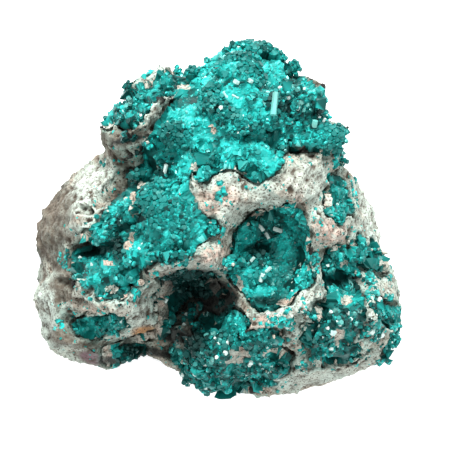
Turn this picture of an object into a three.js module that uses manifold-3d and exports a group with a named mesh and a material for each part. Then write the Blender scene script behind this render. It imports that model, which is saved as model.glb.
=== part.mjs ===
// A dioptase cluster: a lump of pale, porous carbonate rock lying on its broken back, with druses
// of short dioptase crystals grown over its crown, along its ledges and inside its hollows.
// Millimetres, +Z up. The origin is on the flat resting face, under the middle of the plan.
// The rock and each druse are one closed mesh each. The lump's surface is one net of facets; a
// druse takes the facets inside its outline, as a crust with its crystals standing on it, and
// the rock has a bed of the same facets below it, a small gap away.
import * as THREE from "three";
import { mergeVertices } from "three/addons/utils/BufferGeometryUtils.js";
import Module from "manifold-3d";

const wasm = await Module();
wasm.setup();

// ---- driving sizes ----
const SUMMIT_Z = 26; // the rock's general height at the middle of the plan
const CROWN_RIM_Z = 15; // height of the widest line under the overhanging crown
const SKIRT_RIM_Z = 6.5; // height of the widest line round the rest of the rock
const CROWN_FROM = 18; // degrees round the plan where the overhang starts and ends
const CROWN_TO = 152;
const CROWN_FADE = 14; // degrees over which it comes and goes
const CROWN_FOOT = 0.8; // the foot under the crown, as a share of the plan's reach there
const WALL_BEND = 0.8; // how soon the wall under the crown draws in on its way down
const DOME_POWER = 2.7; // how full the dome is between its middle and its rim
const RELIEF_TO = 0.86; // share of the reach from which the relief fades out towards the rim
const SPREAD = 1.015; // makes up for the corners that the facets cut off the outline
const FACET_STEPS = 9; // fineness of the net of facets
const RIM_TILT = 128; // degrees from straight up of the net's ring that lies on the rim
const FOOT_TILT = 158; // and of the ring that lies on the foot of the wall
const MOST_STAND = 1.2; // how far a corner of a facet may stand off the mean of its neighbours
const EVENING = 5; // passes that even out the ways straight into the rock
const CRUST_DEPTH = 1.2; // thickness of the crystal crust under its crystals
const EDGE_DEPTH = 0.6; // the same at the crust's edge
const GAP = 0.3; // clearance between a druse and its bed in the rock
const EDGE_GAP = 1.6 * GAP; // the same at a druse's edge, where the bed's wall leans
const POINT_RISE = [0.3, 0.9]; // how far a facet's low point stands out of a druse
const CRYSTAL_SHARE = 0.08; // share of a druse's facets that carry a whole crystal
const CRYSTAL_RISE = [0.9, 1.8]; // how far a crystal's tip stands out
const CRYSTAL_LEAN = 0.35; // how far a crystal may lean from its facet's normal
const CRYSTAL_FILL = 0.94; // share of its facet's inner circle that a crystal fills
const TIP_DROP = 0.8; // fall of a crystal's tip to its shoulders, as a share of its radius

// Outline of the rock and its crown seen from above, anticlockwise from the right.
const OUTLINE = [
  [24.0, 2.6], [21.6, 6.8], [18.6, 8.2], [21.8, 10.2], [21.4, 12.3], [18.9, 14.7], [14.8, 15.2],
  [18.4, 16.9], [17.9, 19.2], [15.6, 20.9], [12.6, 22.2], [9.9, 23.6], [7.9, 25.4], [5.4, 26.6],
  [1.8, 24.8], [0.2, 23.3], [-1.0, 21.5], [-4.8, 21.7], [-6.9, 23.1], [-9.8, 22.2], [-12.1, 20.1],
  [-13.8, 17.4], [-16.2, 14.5], [-16.8, 12.1], [-15.8, 9.1], [-19.2, 8.0], [-22.6, 4.6],
  [-25.2, 0.6], [-26.7, -3.0], [-25.2, -8.5], [-26.6, -12.2], [-26.0, -15.8], [-24.6, -19.4],
  [-21.9, -21.4], [-17.7, -22.6], [-14.2, -23.4], [-12.7, -21.6], [-11.2, -20.8], [-8.7, -20.8],
  [-6.0, -22.4], [-3.6, -25.0], [-1.8, -26.4], [3.3, -26.2], [7.8, -27.6], [12.6, -26.9],
  [17.0, -25.5], [21.6, -24.0], [26.4, -22.0], [28.6, -19.8], [29.2, -16.2], [28.8, -11.9],
  [27.1, -7.4], [25.5, -2.6],
];

// Relief added to the dome: where, half-lengths, turn in degrees, height, and how soft the edge is.
const FORMS = [
  { name: "summit", at: [-1, 4], size: [10, 8], turn: 0, lift: 1.8, soft: 0.9 },
  { name: "crown dome", at: [6.5, 18.2], size: [9, 7.5], turn: -20, lift: 4.0, soft: 0.6 },
  { name: "upper left lobe", at: [-12, 15.5], size: [7, 8], turn: 30, lift: 1.8, soft: 0.6 },
  { name: "saddle by the crown", at: [-3.6, 20.2], size: [2.2, 4.5], turn: -15, lift: -3.6, soft: 0.8 },
  { name: "bare diagonal ridge", at: [-10.4, 14.2], size: [6.6, 1.7], turn: 44, lift: 3.2, soft: 0.6 },
  { name: "right upper knob", at: [14.6, 17.4], size: [4.2, 3.2], turn: -30, lift: 3.6, soft: 0.5 },
  { name: "right lower knob", at: [17.8, 11.6], size: [4.2, 3.4], turn: -30, lift: 4.4, soft: 0.5 },
  { name: "notch between the knobs", at: [15.6, 14.9], size: [3.4, 1.2], turn: -5, lift: -6, soft: 0.7 },
  { name: "crevice under the knobs", at: [14.2, 9.4], size: [5.2, 1.1], turn: -8, lift: -5.5, soft: 0.6 },
  { name: "pale boss", at: [13.0, 5.4], size: [5.4, 4.2], turn: 0, lift: 2.8, soft: 0.5 },
  { name: "step below the crown", at: [-7.8, 7.4], size: [7.5, 3.2], turn: 15, lift: -4.5, soft: 0.5 },
  { name: "middle pocket", at: [8.2, -6.0], size: [6.2, 7.6], turn: 12, lift: -8.5, soft: 0.35 },
  { name: "pocket's inner bump", at: [8.6, -8.6], size: [3.4, 2.4], turn: 0, lift: 2.8, soft: 0.7 },
  { name: "right shoulder", at: [18.0, -1.2], size: [4.0, 3.6], turn: -60, lift: 2.6, soft: 0.6 },
  { name: "right pocket", at: [19.6, -8.2], size: [4.6, 4.6], turn: 0, lift: -4.0, soft: 0.4 },
  { name: "right pocket's slot", at: [19.6, -9.8], size: [3.6, 1.3], turn: -12, lift: -4.5, soft: 0.6 },
  { name: "left bare face", at: [-21, 1.6], size: [7.5, 6.5], turn: 45, lift: 4.2, soft: 0.7 },
  { name: "crevice by the left face", at: [-14.6, 4.0], size: [1.6, 6.5], turn: -38, lift: -4.5, soft: 0.7 },
  { name: "left slot", at: [-18.0, -5.0], size: [4.4, 1.2], turn: 2, lift: -6, soft: 0.5 },
  { name: "left bright block", at: [-17.4, -2.4], size: [3.2, 1.9], turn: 25, lift: 1.6, soft: 0.4 },
  { name: "left lobe", at: [-9.2, -2.2], size: [8.0, 6.0], turn: 25, lift: 2.6, soft: 0.4 },
  { name: "bare ledge", at: [-3.2, -7.6], size: [8.4, 2.8], turn: 20, lift: 3.8, soft: 0.3 },
  { name: "lower left lobe", at: [-16.0, -9.8], size: [6.6, 4.4], turn: -25, lift: 2.6, soft: 0.4 },
  { name: "bare rim of the lobe", at: [-14.4, -14.0], size: [7.0, 2.0], turn: -8, lift: 3.6, soft: 0.45 },
  { name: "white boss", at: [-11.6, -14.8], size: [3.6, 4.2], turn: 0, lift: 4.6, soft: 0.45 },
  { name: "lower left recess", at: [-18.4, -16.6], size: [6.6, 1.7], turn: -2, lift: -5.5, soft: 0.45 },
  { name: "bottom left lobe", at: [-20.4, -20.2], size: [7.0, 2.8], turn: -8, lift: 3.2, soft: 0.6 },
  { name: "far left lobe", at: [-25.0, -12.6], size: [4.2, 4.6], turn: 0, lift: 2.8, soft: 0.6 },
  { name: "main hollow", at: [-2.4, -12.9], size: [6.6, 4.6], turn: 8, lift: -15, soft: 0.3 },
  { name: "shelf in the hollow", at: [-6.4, -15.4], size: [3.0, 1.5], turn: 4, lift: 5, soft: 0.5 },
  { name: "arch hollow", at: [-8.8, -19.6], size: [7.6, 2.6], turn: 0, lift: -7.5, soft: 0.35 },
  { name: "bottom druse knob", at: [0.0, -22.0], size: [5.0, 4.6], turn: 40, lift: 5.2, soft: 0.6 },
  { name: "bottom middle knob", at: [7.6, -19.6], size: [5.4, 3.0], turn: 20, lift: 2.8, soft: 0.6 },
  { name: "bare lower ramp", at: [10.8, -14.2], size: [7.0, 2.8], turn: 28, lift: 4.0, soft: 0.4 },
  { name: "gap by the ramp", at: [16.6, -12.6], size: [1.8, 2.2], turn: 0, lift: -4.5, soft: 0.6 },
  { name: "lower right knob", at: [18.8, -18.0], size: [5.4, 3.6], turn: 0, lift: 3.4, soft: 0.6 },
  { name: "far right knob", at: [25.6, -15.6], size: [2.8, 4.6], turn: 12, lift: 3.0, soft: 0.6 },
  { name: "bottom right ledge", at: [15.5, -22.8], size: [9.5, 2.2], turn: 16, lift: 2.4, soft: 0.5 },
];

// Lumps of the rock itself: cell size and height of each layer, and the share of that height that
// also goes outwards in plan.
const LUMPS = [
  { cell: 5.4, height: 1.7 },
  { cell: 2.8, height: 0.9 },
];
const LUMP_SWELL = 0.35;
const LUMP_FROM = 3; // height above the resting face from which the lumps are full

// The druses: outline of each in plan, and the height above which it grows.
const DRUSES = [
  {
    name: "main_druse", low: 9,
    edge: [
      [-2.9, 21.6], [-1.5, 24.7], [1.8, 26.2], [5.1, 27.4], [9.5, 25.2], [13, 23.1], [14.3, 21],
      [18.6, 18.4], [18.7, 15.6], [17, 14.8], [21.7, 12], [21.4, 9.2], [19.6, 8], [17.6, 8.6],
      [14.6, 10.1], [11.3, 10], [10.8, 6.7], [8.6, 5.4], [6, 4.8], [4.1, 6.6], [2.5, 7], [0.9, 5.9],
      [-0.6, 4.7], [-2.6, 7.2], [-2.5, 4.4], [-1.7, 2.3], [-0.7, 0.5], [0.9, -0.3], [2.6, -1.4],
      [2.3, -3.5], [-0.1, -3.5], [-1.4, -4.9], [-2.1, -7], [-3.3, -7.6], [-4.8, -6.7], [-7.1, -6.5],
      [-8.9, -7.4], [-10, -9.1], [-11, -10.8], [-12.7, -12.3], [-14.8, -12.1], [-17.4, -11.9],
      [-19.7, -10.3], [-21.4, -9], [-22.1, -6.9], [-21.1, -5.4], [-19.2, -4.3], [-18.4, -2.3],
      [-17.2, -0.9], [-15.6, 0.5], [-14.4, 1.6], [-14.2, 2.7], [-12.9, 3.9], [-12.4, 5.2],
      [-11.8, 6.7], [-10.9, 8.2], [-10, 9.7], [-9.5, 11.2], [-8.7, 12.9], [-7.6, 14.4], [-6, 16.1],
      [-4.9, 17.7], [-5.6, 18.3], [-7.5, 17.3], [-9.2, 15.3], [-10.7, 13.9], [-12.9, 13.5],
      [-15.9, 13.6], [-17.6, 14.8], [-15.8, 17.1], [-14.2, 19.5], [-12.5, 20.5], [-11.2, 19.7],
      [-9.4, 20], [-8.1, 21.1], [-6.7, 21.8], [-5.9, 23.1], [-4.7, 22.9],
    ],
  },
  {
    name: "pocket_druse", low: 5,
    edge: [
      [6.3, -0.4], [8.2, 0.6], [11.1, 1.5], [13.8, 1.3], [14.6, -1.3], [15.2, -4.4], [15.5, -6.2],
      [15.4, -8], [14.6, -9.7], [13.1, -11.2], [11.1, -12.6], [8.6, -13.5], [6.3, -14.1], [5, -12.9],
      [4, -11], [2.9, -8.9], [2.6, -6.4], [3.4, -4.6], [4.4, -2.9], [5.2, -1.7],
    ],
  },
  {
    name: "right_rim_druse", low: 5,
    edge: [
      [18.2, 6.1], [19.9, 6.9], [21.4, 6.1], [21.8, 3.3], [22.3, 0.6], [22.3, -2.1], [20.8, -2.4],
      [19.2, -1.2], [17.5, -0.1], [17.3, 2.4],
    ],
  },
  {
    name: "right_druse", low: 3,
    edge: [
      [17.5, -6.2], [19.2, -5], [21.4, -3.7], [23.3, -3.1], [25.3, -4.1], [27.4, -5.8], [27.5, -7.6],
      [26.6, -9.3], [25.9, -11.1], [24.7, -12.1], [24, -13.4], [23.7, -14.9], [23.8, -17],
      [22.6, -18.8], [23.3, -20.6], [22.3, -22.5], [19.7, -22.8], [16, -23.3], [14.2, -22.7],
      [13.5, -19.9], [13.5, -17.2], [14.4, -15.6], [15.9, -14.4], [17, -12.4], [17.2, -10.2],
      [17.4, -8],
    ],
  },
  {
    name: "far_right_druse", low: 2.5,
    edge: [
      [25.4, -13], [28, -12.6], [30.1, -15.5], [30.5, -19.5], [28.8, -22.8], [26.1, -23.5],
      [25, -20.9], [24.8, -18.8], [25.2, -16.4], [25.3, -14.3],
    ],
  },
  {
    name: "bottom_druse", low: 2,
    edge: [
      [-2.9, -16.8], [-0.7, -14.9], [2.8, -13.3], [4.6, -14.2], [5.4, -16.2], [6, -17.3], [7.9, -16.6],
      [10.5, -15.6], [12.8, -15.1], [14, -16.3], [13.5, -18.1], [11.9, -19.2], [13.4, -20.8],
      [13.1, -22.4], [11.4, -24.1], [9.5, -25.7], [8, -26.6], [5.3, -27.8], [2.4, -28.4],
      [-2.7, -28.4], [-4.8, -23.9], [-6.6, -21], [-4.8, -19.9], [-2.9, -18.4],
    ],
  },
  {
    name: "lower_left_druse", low: 3,
    edge: [
      [-24.6, -17.4], [-23.7, -15.6], [-21.3, -15.6], [-18.6, -15.1], [-15.6, -14.8], [-12.5, -15.1],
      [-12.3, -17], [-14.5, -17.8], [-16.8, -18.8], [-19.4, -18], [-21.6, -18.1],
    ],
  },
  {
    name: "hollow_druse", low: 2,
    edge: [
      [-7.6, -9.5], [-4.7, -8.3], [0.1, -8.3], [2.8, -10], [4.1, -12.6], [2.5, -12.7], [-0.7, -14.1],
      [-2.9, -15.7], [-3.8, -18.3], [-5.2, -19.7], [-6.6, -20.9], [-10.7, -20.6], [-13.8, -22.8],
      [-16.4, -23.6], [-16, -20.3], [-12.3, -18.6], [-8.9, -17.6], [-7.4, -16.3], [-7.6, -12.5],
    ],
  },
];

const ROCK = new THREE.MeshStandardMaterial({ color: 0xaeb2a0, roughness: 0.95, metalness: 0 });
const DIOPTASE = new THREE.MeshStandardMaterial({ color: 0x0f8f86, roughness: 0.22, metalness: 0 });

// ---- small tools ----
const { degToRad, radToDeg, lerp, smoothstep, clamp, euclideanModulo } = THREE.MathUtils;

// A seeded stream of numbers from 0 to 1.
function stream(seed) {
  let state = seed;
  return () => {
    state = (state + 0x6d2b79f5) | 0;
    let t = Math.imul(state ^ (state >>> 15), 1 | state);
    t = (t + Math.imul(t ^ (t >>> 7), 61 | t)) ^ t;
    return ((t ^ (t >>> 14)) >>> 0) / 4294967296;
  };
}

// A fixed number from -1 to 1 for each corner of a cubic lattice.
function corner(i, j, k) {
  const mixed = Math.sin(i * 127.1 + j * 311.7 + k * 74.7) * 43758.5453;
  return 2 * (mixed - Math.floor(mixed)) - 1;
}

// Smooth noise from -1 to 1 over space.
function noise(x, y, z) {
  const [i, j, k] = [x, y, z].map(Math.floor);
  const [u, v, w] = [x - i, y - j, z - k].map((t) => t * t * (3 - 2 * t));
  const along = (b, c) => lerp(corner(i, j + b, k + c), corner(i + 1, j + b, k + c), u);
  return lerp(lerp(along(0, 0), along(1, 0), v), lerp(along(0, 1), along(1, 1), v), w);
}

function rockLumps(x, y, z) {
  return LUMPS.reduce((sum, l) => sum + l.height * noise(x / l.cell + 7, y / l.cell, z / l.cell), 0);
}

// ---- the rock's surface ----
// Reach of the outline from the middle at an angle round the plan, rounded between its points.
const OUTLINE_CURVE = new THREE.CatmullRomCurve3(
  OUTLINE.map(([x, y]) => new THREE.Vector3(x, y, 0)), true, "centripetal",
);
const OUTLINE_STEPS = 1440;
const REACH = new Float64Array(OUTLINE_STEPS).fill(NaN);
const binOf = (angle) => {
  const step = Math.round((angle / (2 * Math.PI)) * OUTLINE_STEPS);
  return euclideanModulo(step, OUTLINE_STEPS);
};
for (const point of OUTLINE_CURVE.getPoints(OUTLINE_STEPS * 8)) {
  const bin = binOf(Math.atan2(point.y, point.x));
  const reach = Math.hypot(point.x, point.y);
  REACH[bin] = Number.isNaN(REACH[bin]) ? reach : Math.max(REACH[bin], reach);
}
for (let i = 0; i < OUTLINE_STEPS; i++) {
  if (Number.isNaN(REACH[i])) REACH[i] = REACH[(i + OUTLINE_STEPS - 1) % OUTLINE_STEPS];
}
const reachAt = (angle) => SPREAD * REACH[binOf(angle)];

// 1 under the overhanging crown and 0 round the rest of the rock.
function crownShare(angle) {
  const turn = radToDeg(angle);
  const begun = smoothstep(turn, CROWN_FROM - CROWN_FADE, CROWN_FROM + CROWN_FADE);
  const ended = smoothstep(turn, CROWN_TO - CROWN_FADE, CROWN_TO + CROWN_FADE);
  return begun * (1 - ended);
}

// Height that the forms add at a place of the plan. A form fades out just past its own edge.
function reliefAt(x, y) {
  const fadedAt = 1.12;
  let lift = 0;
  for (const form of FORMS) {
    const turn = degToRad(form.turn);
    const [dx, dy] = [x - form.at[0], y - form.at[1]];
    const along = (dx * Math.cos(turn) + dy * Math.sin(turn)) / form.size[0];
    const across = (dy * Math.cos(turn) - dx * Math.sin(turn)) / form.size[1];
    lift += form.lift * (1 - smoothstep(Math.hypot(along, across), 1 - form.soft, fadedAt));
  }
  return lift;
}

// The point of the rock's surface that belongs to a direction from its middle: the upper part of
// the sphere of directions is laid over the plan, and the rest goes down the wall and the base.
function surfacePoint(direction) {
  const tilt = radToDeg(Math.acos(clamp(direction.z, -1, 1)));
  const angle = Math.atan2(direction.y, direction.x);
  const [alongX, alongY] = [Math.cos(angle), Math.sin(angle)];
  const crown = crownShare(angle);
  const rimZ = lerp(SKIRT_RIM_Z, CROWN_RIM_Z, crown);
  const reach = reachAt(angle);
  const point = new THREE.Vector3();
  if (tilt <= RIM_TILT) {
    const share = Math.sin(degToRad(tilt / 2)) / Math.sin(degToRad(RIM_TILT / 2));
    const relief = reliefAt(share * reach * alongX, share * reach * alongY);
    const dome = rimZ + (SUMMIT_Z - rimZ) * (1 - share ** DOME_POWER);
    const lowestZ = 0.9 * rimZ;
    const z = Math.max(dome + relief * (1 - smoothstep(share, RELIEF_TO, 1)), lowestZ);
    point.set(share * reach * alongX, share * reach * alongY, z);
  } else {
    const drop = clamp((tilt - RIM_TILT) / (FOOT_TILT - RIM_TILT), 0, 1);
    const under = clamp((tilt - FOOT_TILT) / (180 - FOOT_TILT), 0, 1);
    const foot = lerp(1, lerp(1, CROWN_FOOT, crown), drop ** WALL_BEND);
    const out = foot * reach * (1 - under);
    point.set(out * alongX, out * alongY, rimZ * (1 - drop));
  }
  const lump = rockLumps(point.x, point.y, point.z) * clamp(point.z / LUMP_FROM, 0, 1);
  const onWall = direction.z < -0.4;
  const swell = new THREE.Vector3(LUMP_SWELL * direction.x, LUMP_SWELL * direction.y, onWall ? 0 : 1);
  return point.addScaledVector(swell, lump);
}

// The net of facets: the directions of its corners, and each facet's three corners.
const net = new THREE.IcosahedronGeometry(1, FACET_STEPS);
net.deleteAttribute("normal");
net.deleteAttribute("uv");
const netCorners = mergeVertices(net, 1e-5);
const FACETS = [];
for (let i = 0; i < netCorners.index.count; i += 3) {
  FACETS.push([...netCorners.index.array.slice(i, i + 3)]);
}
const directions = Array.from({ length: netCorners.attributes.position.count }, (_, i) =>
  new THREE.Vector3().fromBufferAttribute(netCorners.attributes.position, i).normalize(),
);
const skin = directions.map(surfacePoint);

// A corner of the upper part that stands too far off the mean of its neighbours is drawn back.
const RIM_FROM = Math.cos(degToRad(0.85 * RIM_TILT));
for (let pass = 0; pass < 2; pass++) {
  const sums = directions.map(() => ({ total: new THREE.Vector3(), count: 0 }));
  for (const [a, b, c] of FACETS) {
    for (const [from, to] of [[a, b], [b, c], [c, a]]) {
      sums[to].total.add(skin[from]);
      sums[to].count++;
    }
  }
  sums.forEach(({ total, count }, c) => {
    if (directions[c].z < RIM_FROM) return;
    const off = skin[c].clone().sub(total.divideScalar(count));
    if (off.length() > MOST_STAND) skin[c].copy(total).addScaledVector(off.normalize(), MOST_STAND);
  });
}

// The way straight into the rock at each corner, evened out over its neighbours.
let ways = directions.map(() => new THREE.Vector3());
for (const facet of FACETS) {
  const normal = new THREE.Triangle(...facet.map((c) => skin[c])).getNormal(new THREE.Vector3());
  for (const c of facet) ways[c].sub(normal);
}
for (let pass = 0; pass < EVENING; pass++) {
  const sums = directions.map(() => new THREE.Vector3());
  for (const facet of FACETS) {
    for (const from of facet) for (const to of facet) sums[to].add(ways[from]);
  }
  ways = sums.map((sum) => sum.normalize());
}
const skinSunk = (depth) => skin.map((point, c) => point.clone().addScaledVector(ways[c], depth));
const bedFloor = skinSunk(CRUST_DEPTH + GAP);

// ---- which facets belong to which druse ----
function inside(edge, x, y) {
  let found = false;
  edge.forEach(([ax, ay], i) => {
    const [bx, by] = edge[(i + 1) % edge.length];
    if (ay > y !== by > y && x < ((bx - ax) * (y - ay)) / (by - ay) + ax) found = !found;
  });
  return found;
}

function middleOf(facet, corners) {
  return facet.reduce((sum, c) => sum.add(corners[c]), new THREE.Vector3()).divideScalar(3);
}

// -1 for the rock, or the number of a druse.
const owner = FACETS.map((facet) => {
  const middle = middleOf(facet, skin);
  const lowest = Math.min(...facet.map((c) => skin[c].z));
  return DRUSES.findIndex(
    ({ edge, low }) => lowest > low && inside(edge, middle.x, middle.y),
  );
});

const facetsAt = directions.map(() => []);
FACETS.forEach((facet, f) => facet.forEach((c) => facetsAt[c].push(f)));

// The facets of a corner's fan that a druse owns, parted into runs of neighbours.
function runsAt(corner, druse) {
  const left = new Set(facetsAt[corner].filter((f) => owner[f] === druse));
  const runs = [];
  while (left.size) {
    const run = [left.values().next().value];
    left.delete(run[0]);
    for (const f of run) {
      for (const g of left) {
        if (FACETS[f].filter((c) => FACETS[g].includes(c)).length < 2) continue;
        left.delete(g);
        run.push(g);
      }
    }
    runs.push(run);
  }
  return runs.sort((a, b) => b.length - a.length);
}

// A facet goes back to the rock where two druses would touch, or where a druse would touch
// itself or the rock at a corner only.
function tidyOwners() {
  let changed = false;
  const giveBack = (facets) => {
    for (const f of facets) owner[f] = -1;
    changed = changed || facets.length > 0;
  };
  directions.forEach((_, corner) => {
    const druses = [...new Set(facetsAt[corner].map((f) => owner[f]))].filter((d) => d >= 0);
    for (const druse of druses.slice(1)) {
      giveBack(facetsAt[corner].filter((f) => owner[f] === druse));
    }
    if (druses.length) giveBack(runsAt(corner, druses[0]).slice(1).flat());
  });
  return changed;
}
while (tidyOwners());

// A druse keeps its largest run of joined facets.
DRUSES.forEach((_, druse) => {
  const left = new Set(owner.keys().filter((f) => owner[f] === druse));
  const groups = [];
  while (left.size) {
    const joined = [left.values().next().value];
    left.delete(joined[0]);
    for (const f of joined) {
      for (const c of FACETS[f]) {
        for (const g of facetsAt[c]) if (left.delete(g)) joined.push(g);
      }
    }
    groups.push(joined);
  }
  groups.sort((a, b) => b.length - a.length);
  for (const f of groups.slice(1).flat()) owner[f] = -1;
});

// The directed edges of a druse's facets that have no facet of the druse on their other side.
function borderOf(druse) {
  const edges = new Map();
  owner.forEach((d, f) => {
    if (d !== druse) return;
    FACETS[f].forEach((a, i) => {
      const b = FACETS[f][(i + 1) % 3];
      edges.set(a + "," + b, [a, b]);
    });
  });
  return [...edges.values()].filter(([a, b]) => !edges.has(b + "," + a));
}

// ---- building the meshes ----
class Body {
  points = [];
  faces = [];
  add(point) {
    this.points.push(...point.toArray());
    return this.points.length / 3 - 1;
  }
  face(...corners) {
    this.faces.push(...corners);
  }
  geometry() {
    const geometry = new THREE.BufferGeometry();
    geometry.setAttribute("position", new THREE.Float32BufferAttribute(this.points, 3));
    return geometry.setIndex(this.faces);
  }
}

// The rock: its own facets, the beds, and the walls of the beds.
function rockBody() {
  const body = new Body();
  const top = new Map();
  const bed = new Map();
  const indexIn = (map, corners, c) => {
    if (!map.has(c)) map.set(c, body.add(corners[c]));
    return map.get(c);
  };
  const onTop = (c) => indexIn(top, skin, c);
  const onBed = (c) => indexIn(bed, bedFloor, c);
  owner.forEach((druse, f) => body.face(...FACETS[f].map(druse < 0 ? onTop : onBed)));
  DRUSES.forEach((_, druse) => {
    for (const [a, b] of borderOf(druse)) {
      body.face(onTop(a), onTop(b), onBed(b));
      body.face(onTop(a), onBed(b), onBed(a));
    }
  });
  return body.geometry();
}

// A border corner drawn in along its druse's facets, to stand clear of the bed's wall.
function drawnIn(corner, druse, by) {
  const mostShare = 0.7;
  const mine = facetsAt[corner].filter((f) => owner[f] === druse);
  const inner = new THREE.Vector3();
  for (const f of mine) inner.addScaledVector(middleOf(FACETS[f], skin), 1 / mine.length);
  const way = inner.sub(skin[corner]);
  return skin[corner].clone().addScaledVector(way, Math.min(mostShare, by / way.length()));
}

// A low three-faced point on a facet.
function addPoint(body, at, points, random) {
  const triangle = new THREE.Triangle(...points);
  const tip = new THREE.Vector3();
  const weights = points.map(() => 0.5 + random());
  const all = weights.reduce((sum, w) => sum + w);
  points.forEach((point, i) => tip.addScaledVector(point, weights[i] / all));
  const rise = lerp(...POINT_RISE, random());
  const top = body.add(tip.addScaledVector(triangle.getNormal(new THREE.Vector3()), rise));
  at.forEach((corner, i) => body.face(corner, at[(i + 1) % 3], top));
}

// A dioptase crystal on a facet: a six-sided prism that ends in three rhombs.
function addCrystal(body, at, points, random) {
  const triangle = new THREE.Triangle(...points);
  const middle = triangle.getMidpoint(new THREE.Vector3());
  const normal = triangle.getNormal(new THREE.Vector3());
  const reach = points.map((point, i) => {
    const side = new THREE.Line3(point, points[(i + 1) % 3]);
    return side.closestPointToPoint(middle, true, new THREE.Vector3()).distanceTo(middle);
  });
  const radius = CRYSTAL_FILL * Math.min(...reach);
  const across = points[0].clone().sub(middle).normalize();
  const along = normal.clone().cross(across);
  const lean = new THREE.Vector3(random() - 0.5, random() - 0.5, random() - 0.5);
  const axis = normal.clone().addScaledVector(lean, 2 * CRYSTAL_LEAN).normalize();
  const rise = lerp(...CRYSTAL_RISE, random());
  const ring = (height, drop) =>
    Array.from({ length: 6 }, (_, i) => {
      const turn = degToRad(60 * i);
      const point = middle.clone().addScaledVector(across, radius * Math.cos(turn));
      point.addScaledVector(along, radius * Math.sin(turn));
      return body.add(point.addScaledVector(axis, height - (i % 2 ? drop : drop / 2)));
    });
  const foot = ring(0, 0);
  const shoulder = ring(rise, TIP_DROP * radius);
  const tip = body.add(middle.clone().addScaledVector(axis, rise));
  for (let k = 0; k < 3; k++) {
    const [here, next] = [at[k], at[(k + 1) % 3]];
    const [first, second, third] = [2 * k, 2 * k + 1, (2 * k + 2) % 6].map((i) => foot[i]);
    body.face(here, next, second);
    body.face(here, second, first);
    body.face(next, third, second);
  }
  for (let i = 0; i < 6; i++) {
    const j = (i + 1) % 6;
    body.face(foot[i], foot[j], shoulder[j]);
    body.face(foot[i], shoulder[j], shoulder[i]);
    body.face(shoulder[i], shoulder[j], tip);
  }
}

// A druse: its facets with their crystals, the crust's underside, and its edge all round. The
// easing of a corner thins the crust there and draws its edge further in.
function druseBody(druse, easing) {
  const thinner = 0.75;
  const random = stream(11 + 17 * druse);
  const body = new Body();
  const border = borderOf(druse);
  const onBorder = new Set(border.flat());
  const corners = new Map();
  const cornerOf = (c) => {
    if (!corners.has(c)) {
      const ease = easing.get(c) ?? 0;
      const edge = onBorder.has(c);
      const point = edge ? drawnIn(c, druse, EDGE_GAP + GAP * ease) : skin[c];
      const depth = (edge ? EDGE_DEPTH : CRUST_DEPTH) * thinner ** ease;
      const under = point.clone().addScaledVector(ways[c], depth);
      corners.set(c, { point, top: body.add(point), floor: body.add(under) });
    }
    return corners.get(c);
  };
  owner.forEach((d, f) => {
    if (d !== druse) return;
    const facet = FACETS[f].map(cornerOf);
    const points = facet.map(({ point }) => point);
    const at = facet.map(({ top }) => top);
    (random() < CRYSTAL_SHARE ? addCrystal : addPoint)(body, at, points, random);
    body.face(...facet.map(({ floor }) => floor).reverse());
  });
  for (const [a, b] of border) {
    const [from, to] = [cornerOf(a), cornerOf(b)];
    body.face(to.top, from.top, from.floor);
    body.face(to.top, from.floor, to.floor);
  }
  return body.geometry();
}

function solidOf(geometry) {
  return new wasm.Manifold(
    new wasm.Mesh({
      numProp: 3,
      vertProperties: new Float32Array(geometry.attributes.position.array),
      triVerts: new Uint32Array(geometry.index.array),
    }),
  );
}

function boxOf(solid) {
  const { min, max } = solid.boundingBox();
  return new THREE.Box3(new THREE.Vector3(...min), new THREE.Vector3(...max));
}

// A druse whose corners are eased until nothing of it is in the rock.
function druseClearOf(rock, druse) {
  const easing = new Map();
  const passes = 10;
  const reach = 0.7;
  const leastVolume = 1e-3;
  let solid;
  for (let pass = 0; pass < passes; pass++) {
    solid = solidOf(druseBody(druse, easing));
    const shared = solid.intersect(rock);
    if (shared.volume() < leastVolume) return solid;
    const boxes = shared.decompose().map((body) => boxOf(body).expandByScalar(reach));
    skin.forEach((point, c) => {
      if (!facetsAt[c].some((f) => owner[f] === druse)) return;
      const under = point.clone().addScaledVector(ways[c], CRUST_DEPTH);
      const near = boxes.some((box) => box.containsPoint(point) || box.containsPoint(under));
      if (near) easing.set(c, (easing.get(c) ?? 0) + 1);
    });
  }
  const bodies = solid.subtract(rock).decompose();
  return bodies.reduce((best, body) => (body.volume() > best.volume() ? body : best));
}

const rock = solidOf(rockBody());
const solids = new Map([["matrix_rock", rock]]);
DRUSES.forEach(({ name }, druse) => solids.set(name, druseClearOf(rock, druse)));

// The middle of the plan goes to the origin.
const box = new THREE.Box3();
for (const solid of solids.values()) box.union(boxOf(solid));
const middle = box.getCenter(new THREE.Vector3());

const group = new THREE.Group();
for (const [name, solid] of solids) {
  const { vertProperties, triVerts } = solid.getMesh();
  const geometry = new THREE.BufferGeometry();
  geometry.setAttribute("position", new THREE.BufferAttribute(new Float32Array(vertProperties), 3));
  geometry.setIndex(new THREE.BufferAttribute(new Uint32Array(triVerts), 1));
  const mesh = new THREE.Mesh(geometry, name === "matrix_rock" ? ROCK : DIOPTASE);
  mesh.geometry.translate(-middle.x, -middle.y, 0);
  mesh.name = name;
  group.add(mesh);
}

export default group;
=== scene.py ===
import math

import bpy
import numpy as np
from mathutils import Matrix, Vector, noise
from mathutils.bvhtree import BVHTree
from mathutils.kdtree import KDTree


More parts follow.
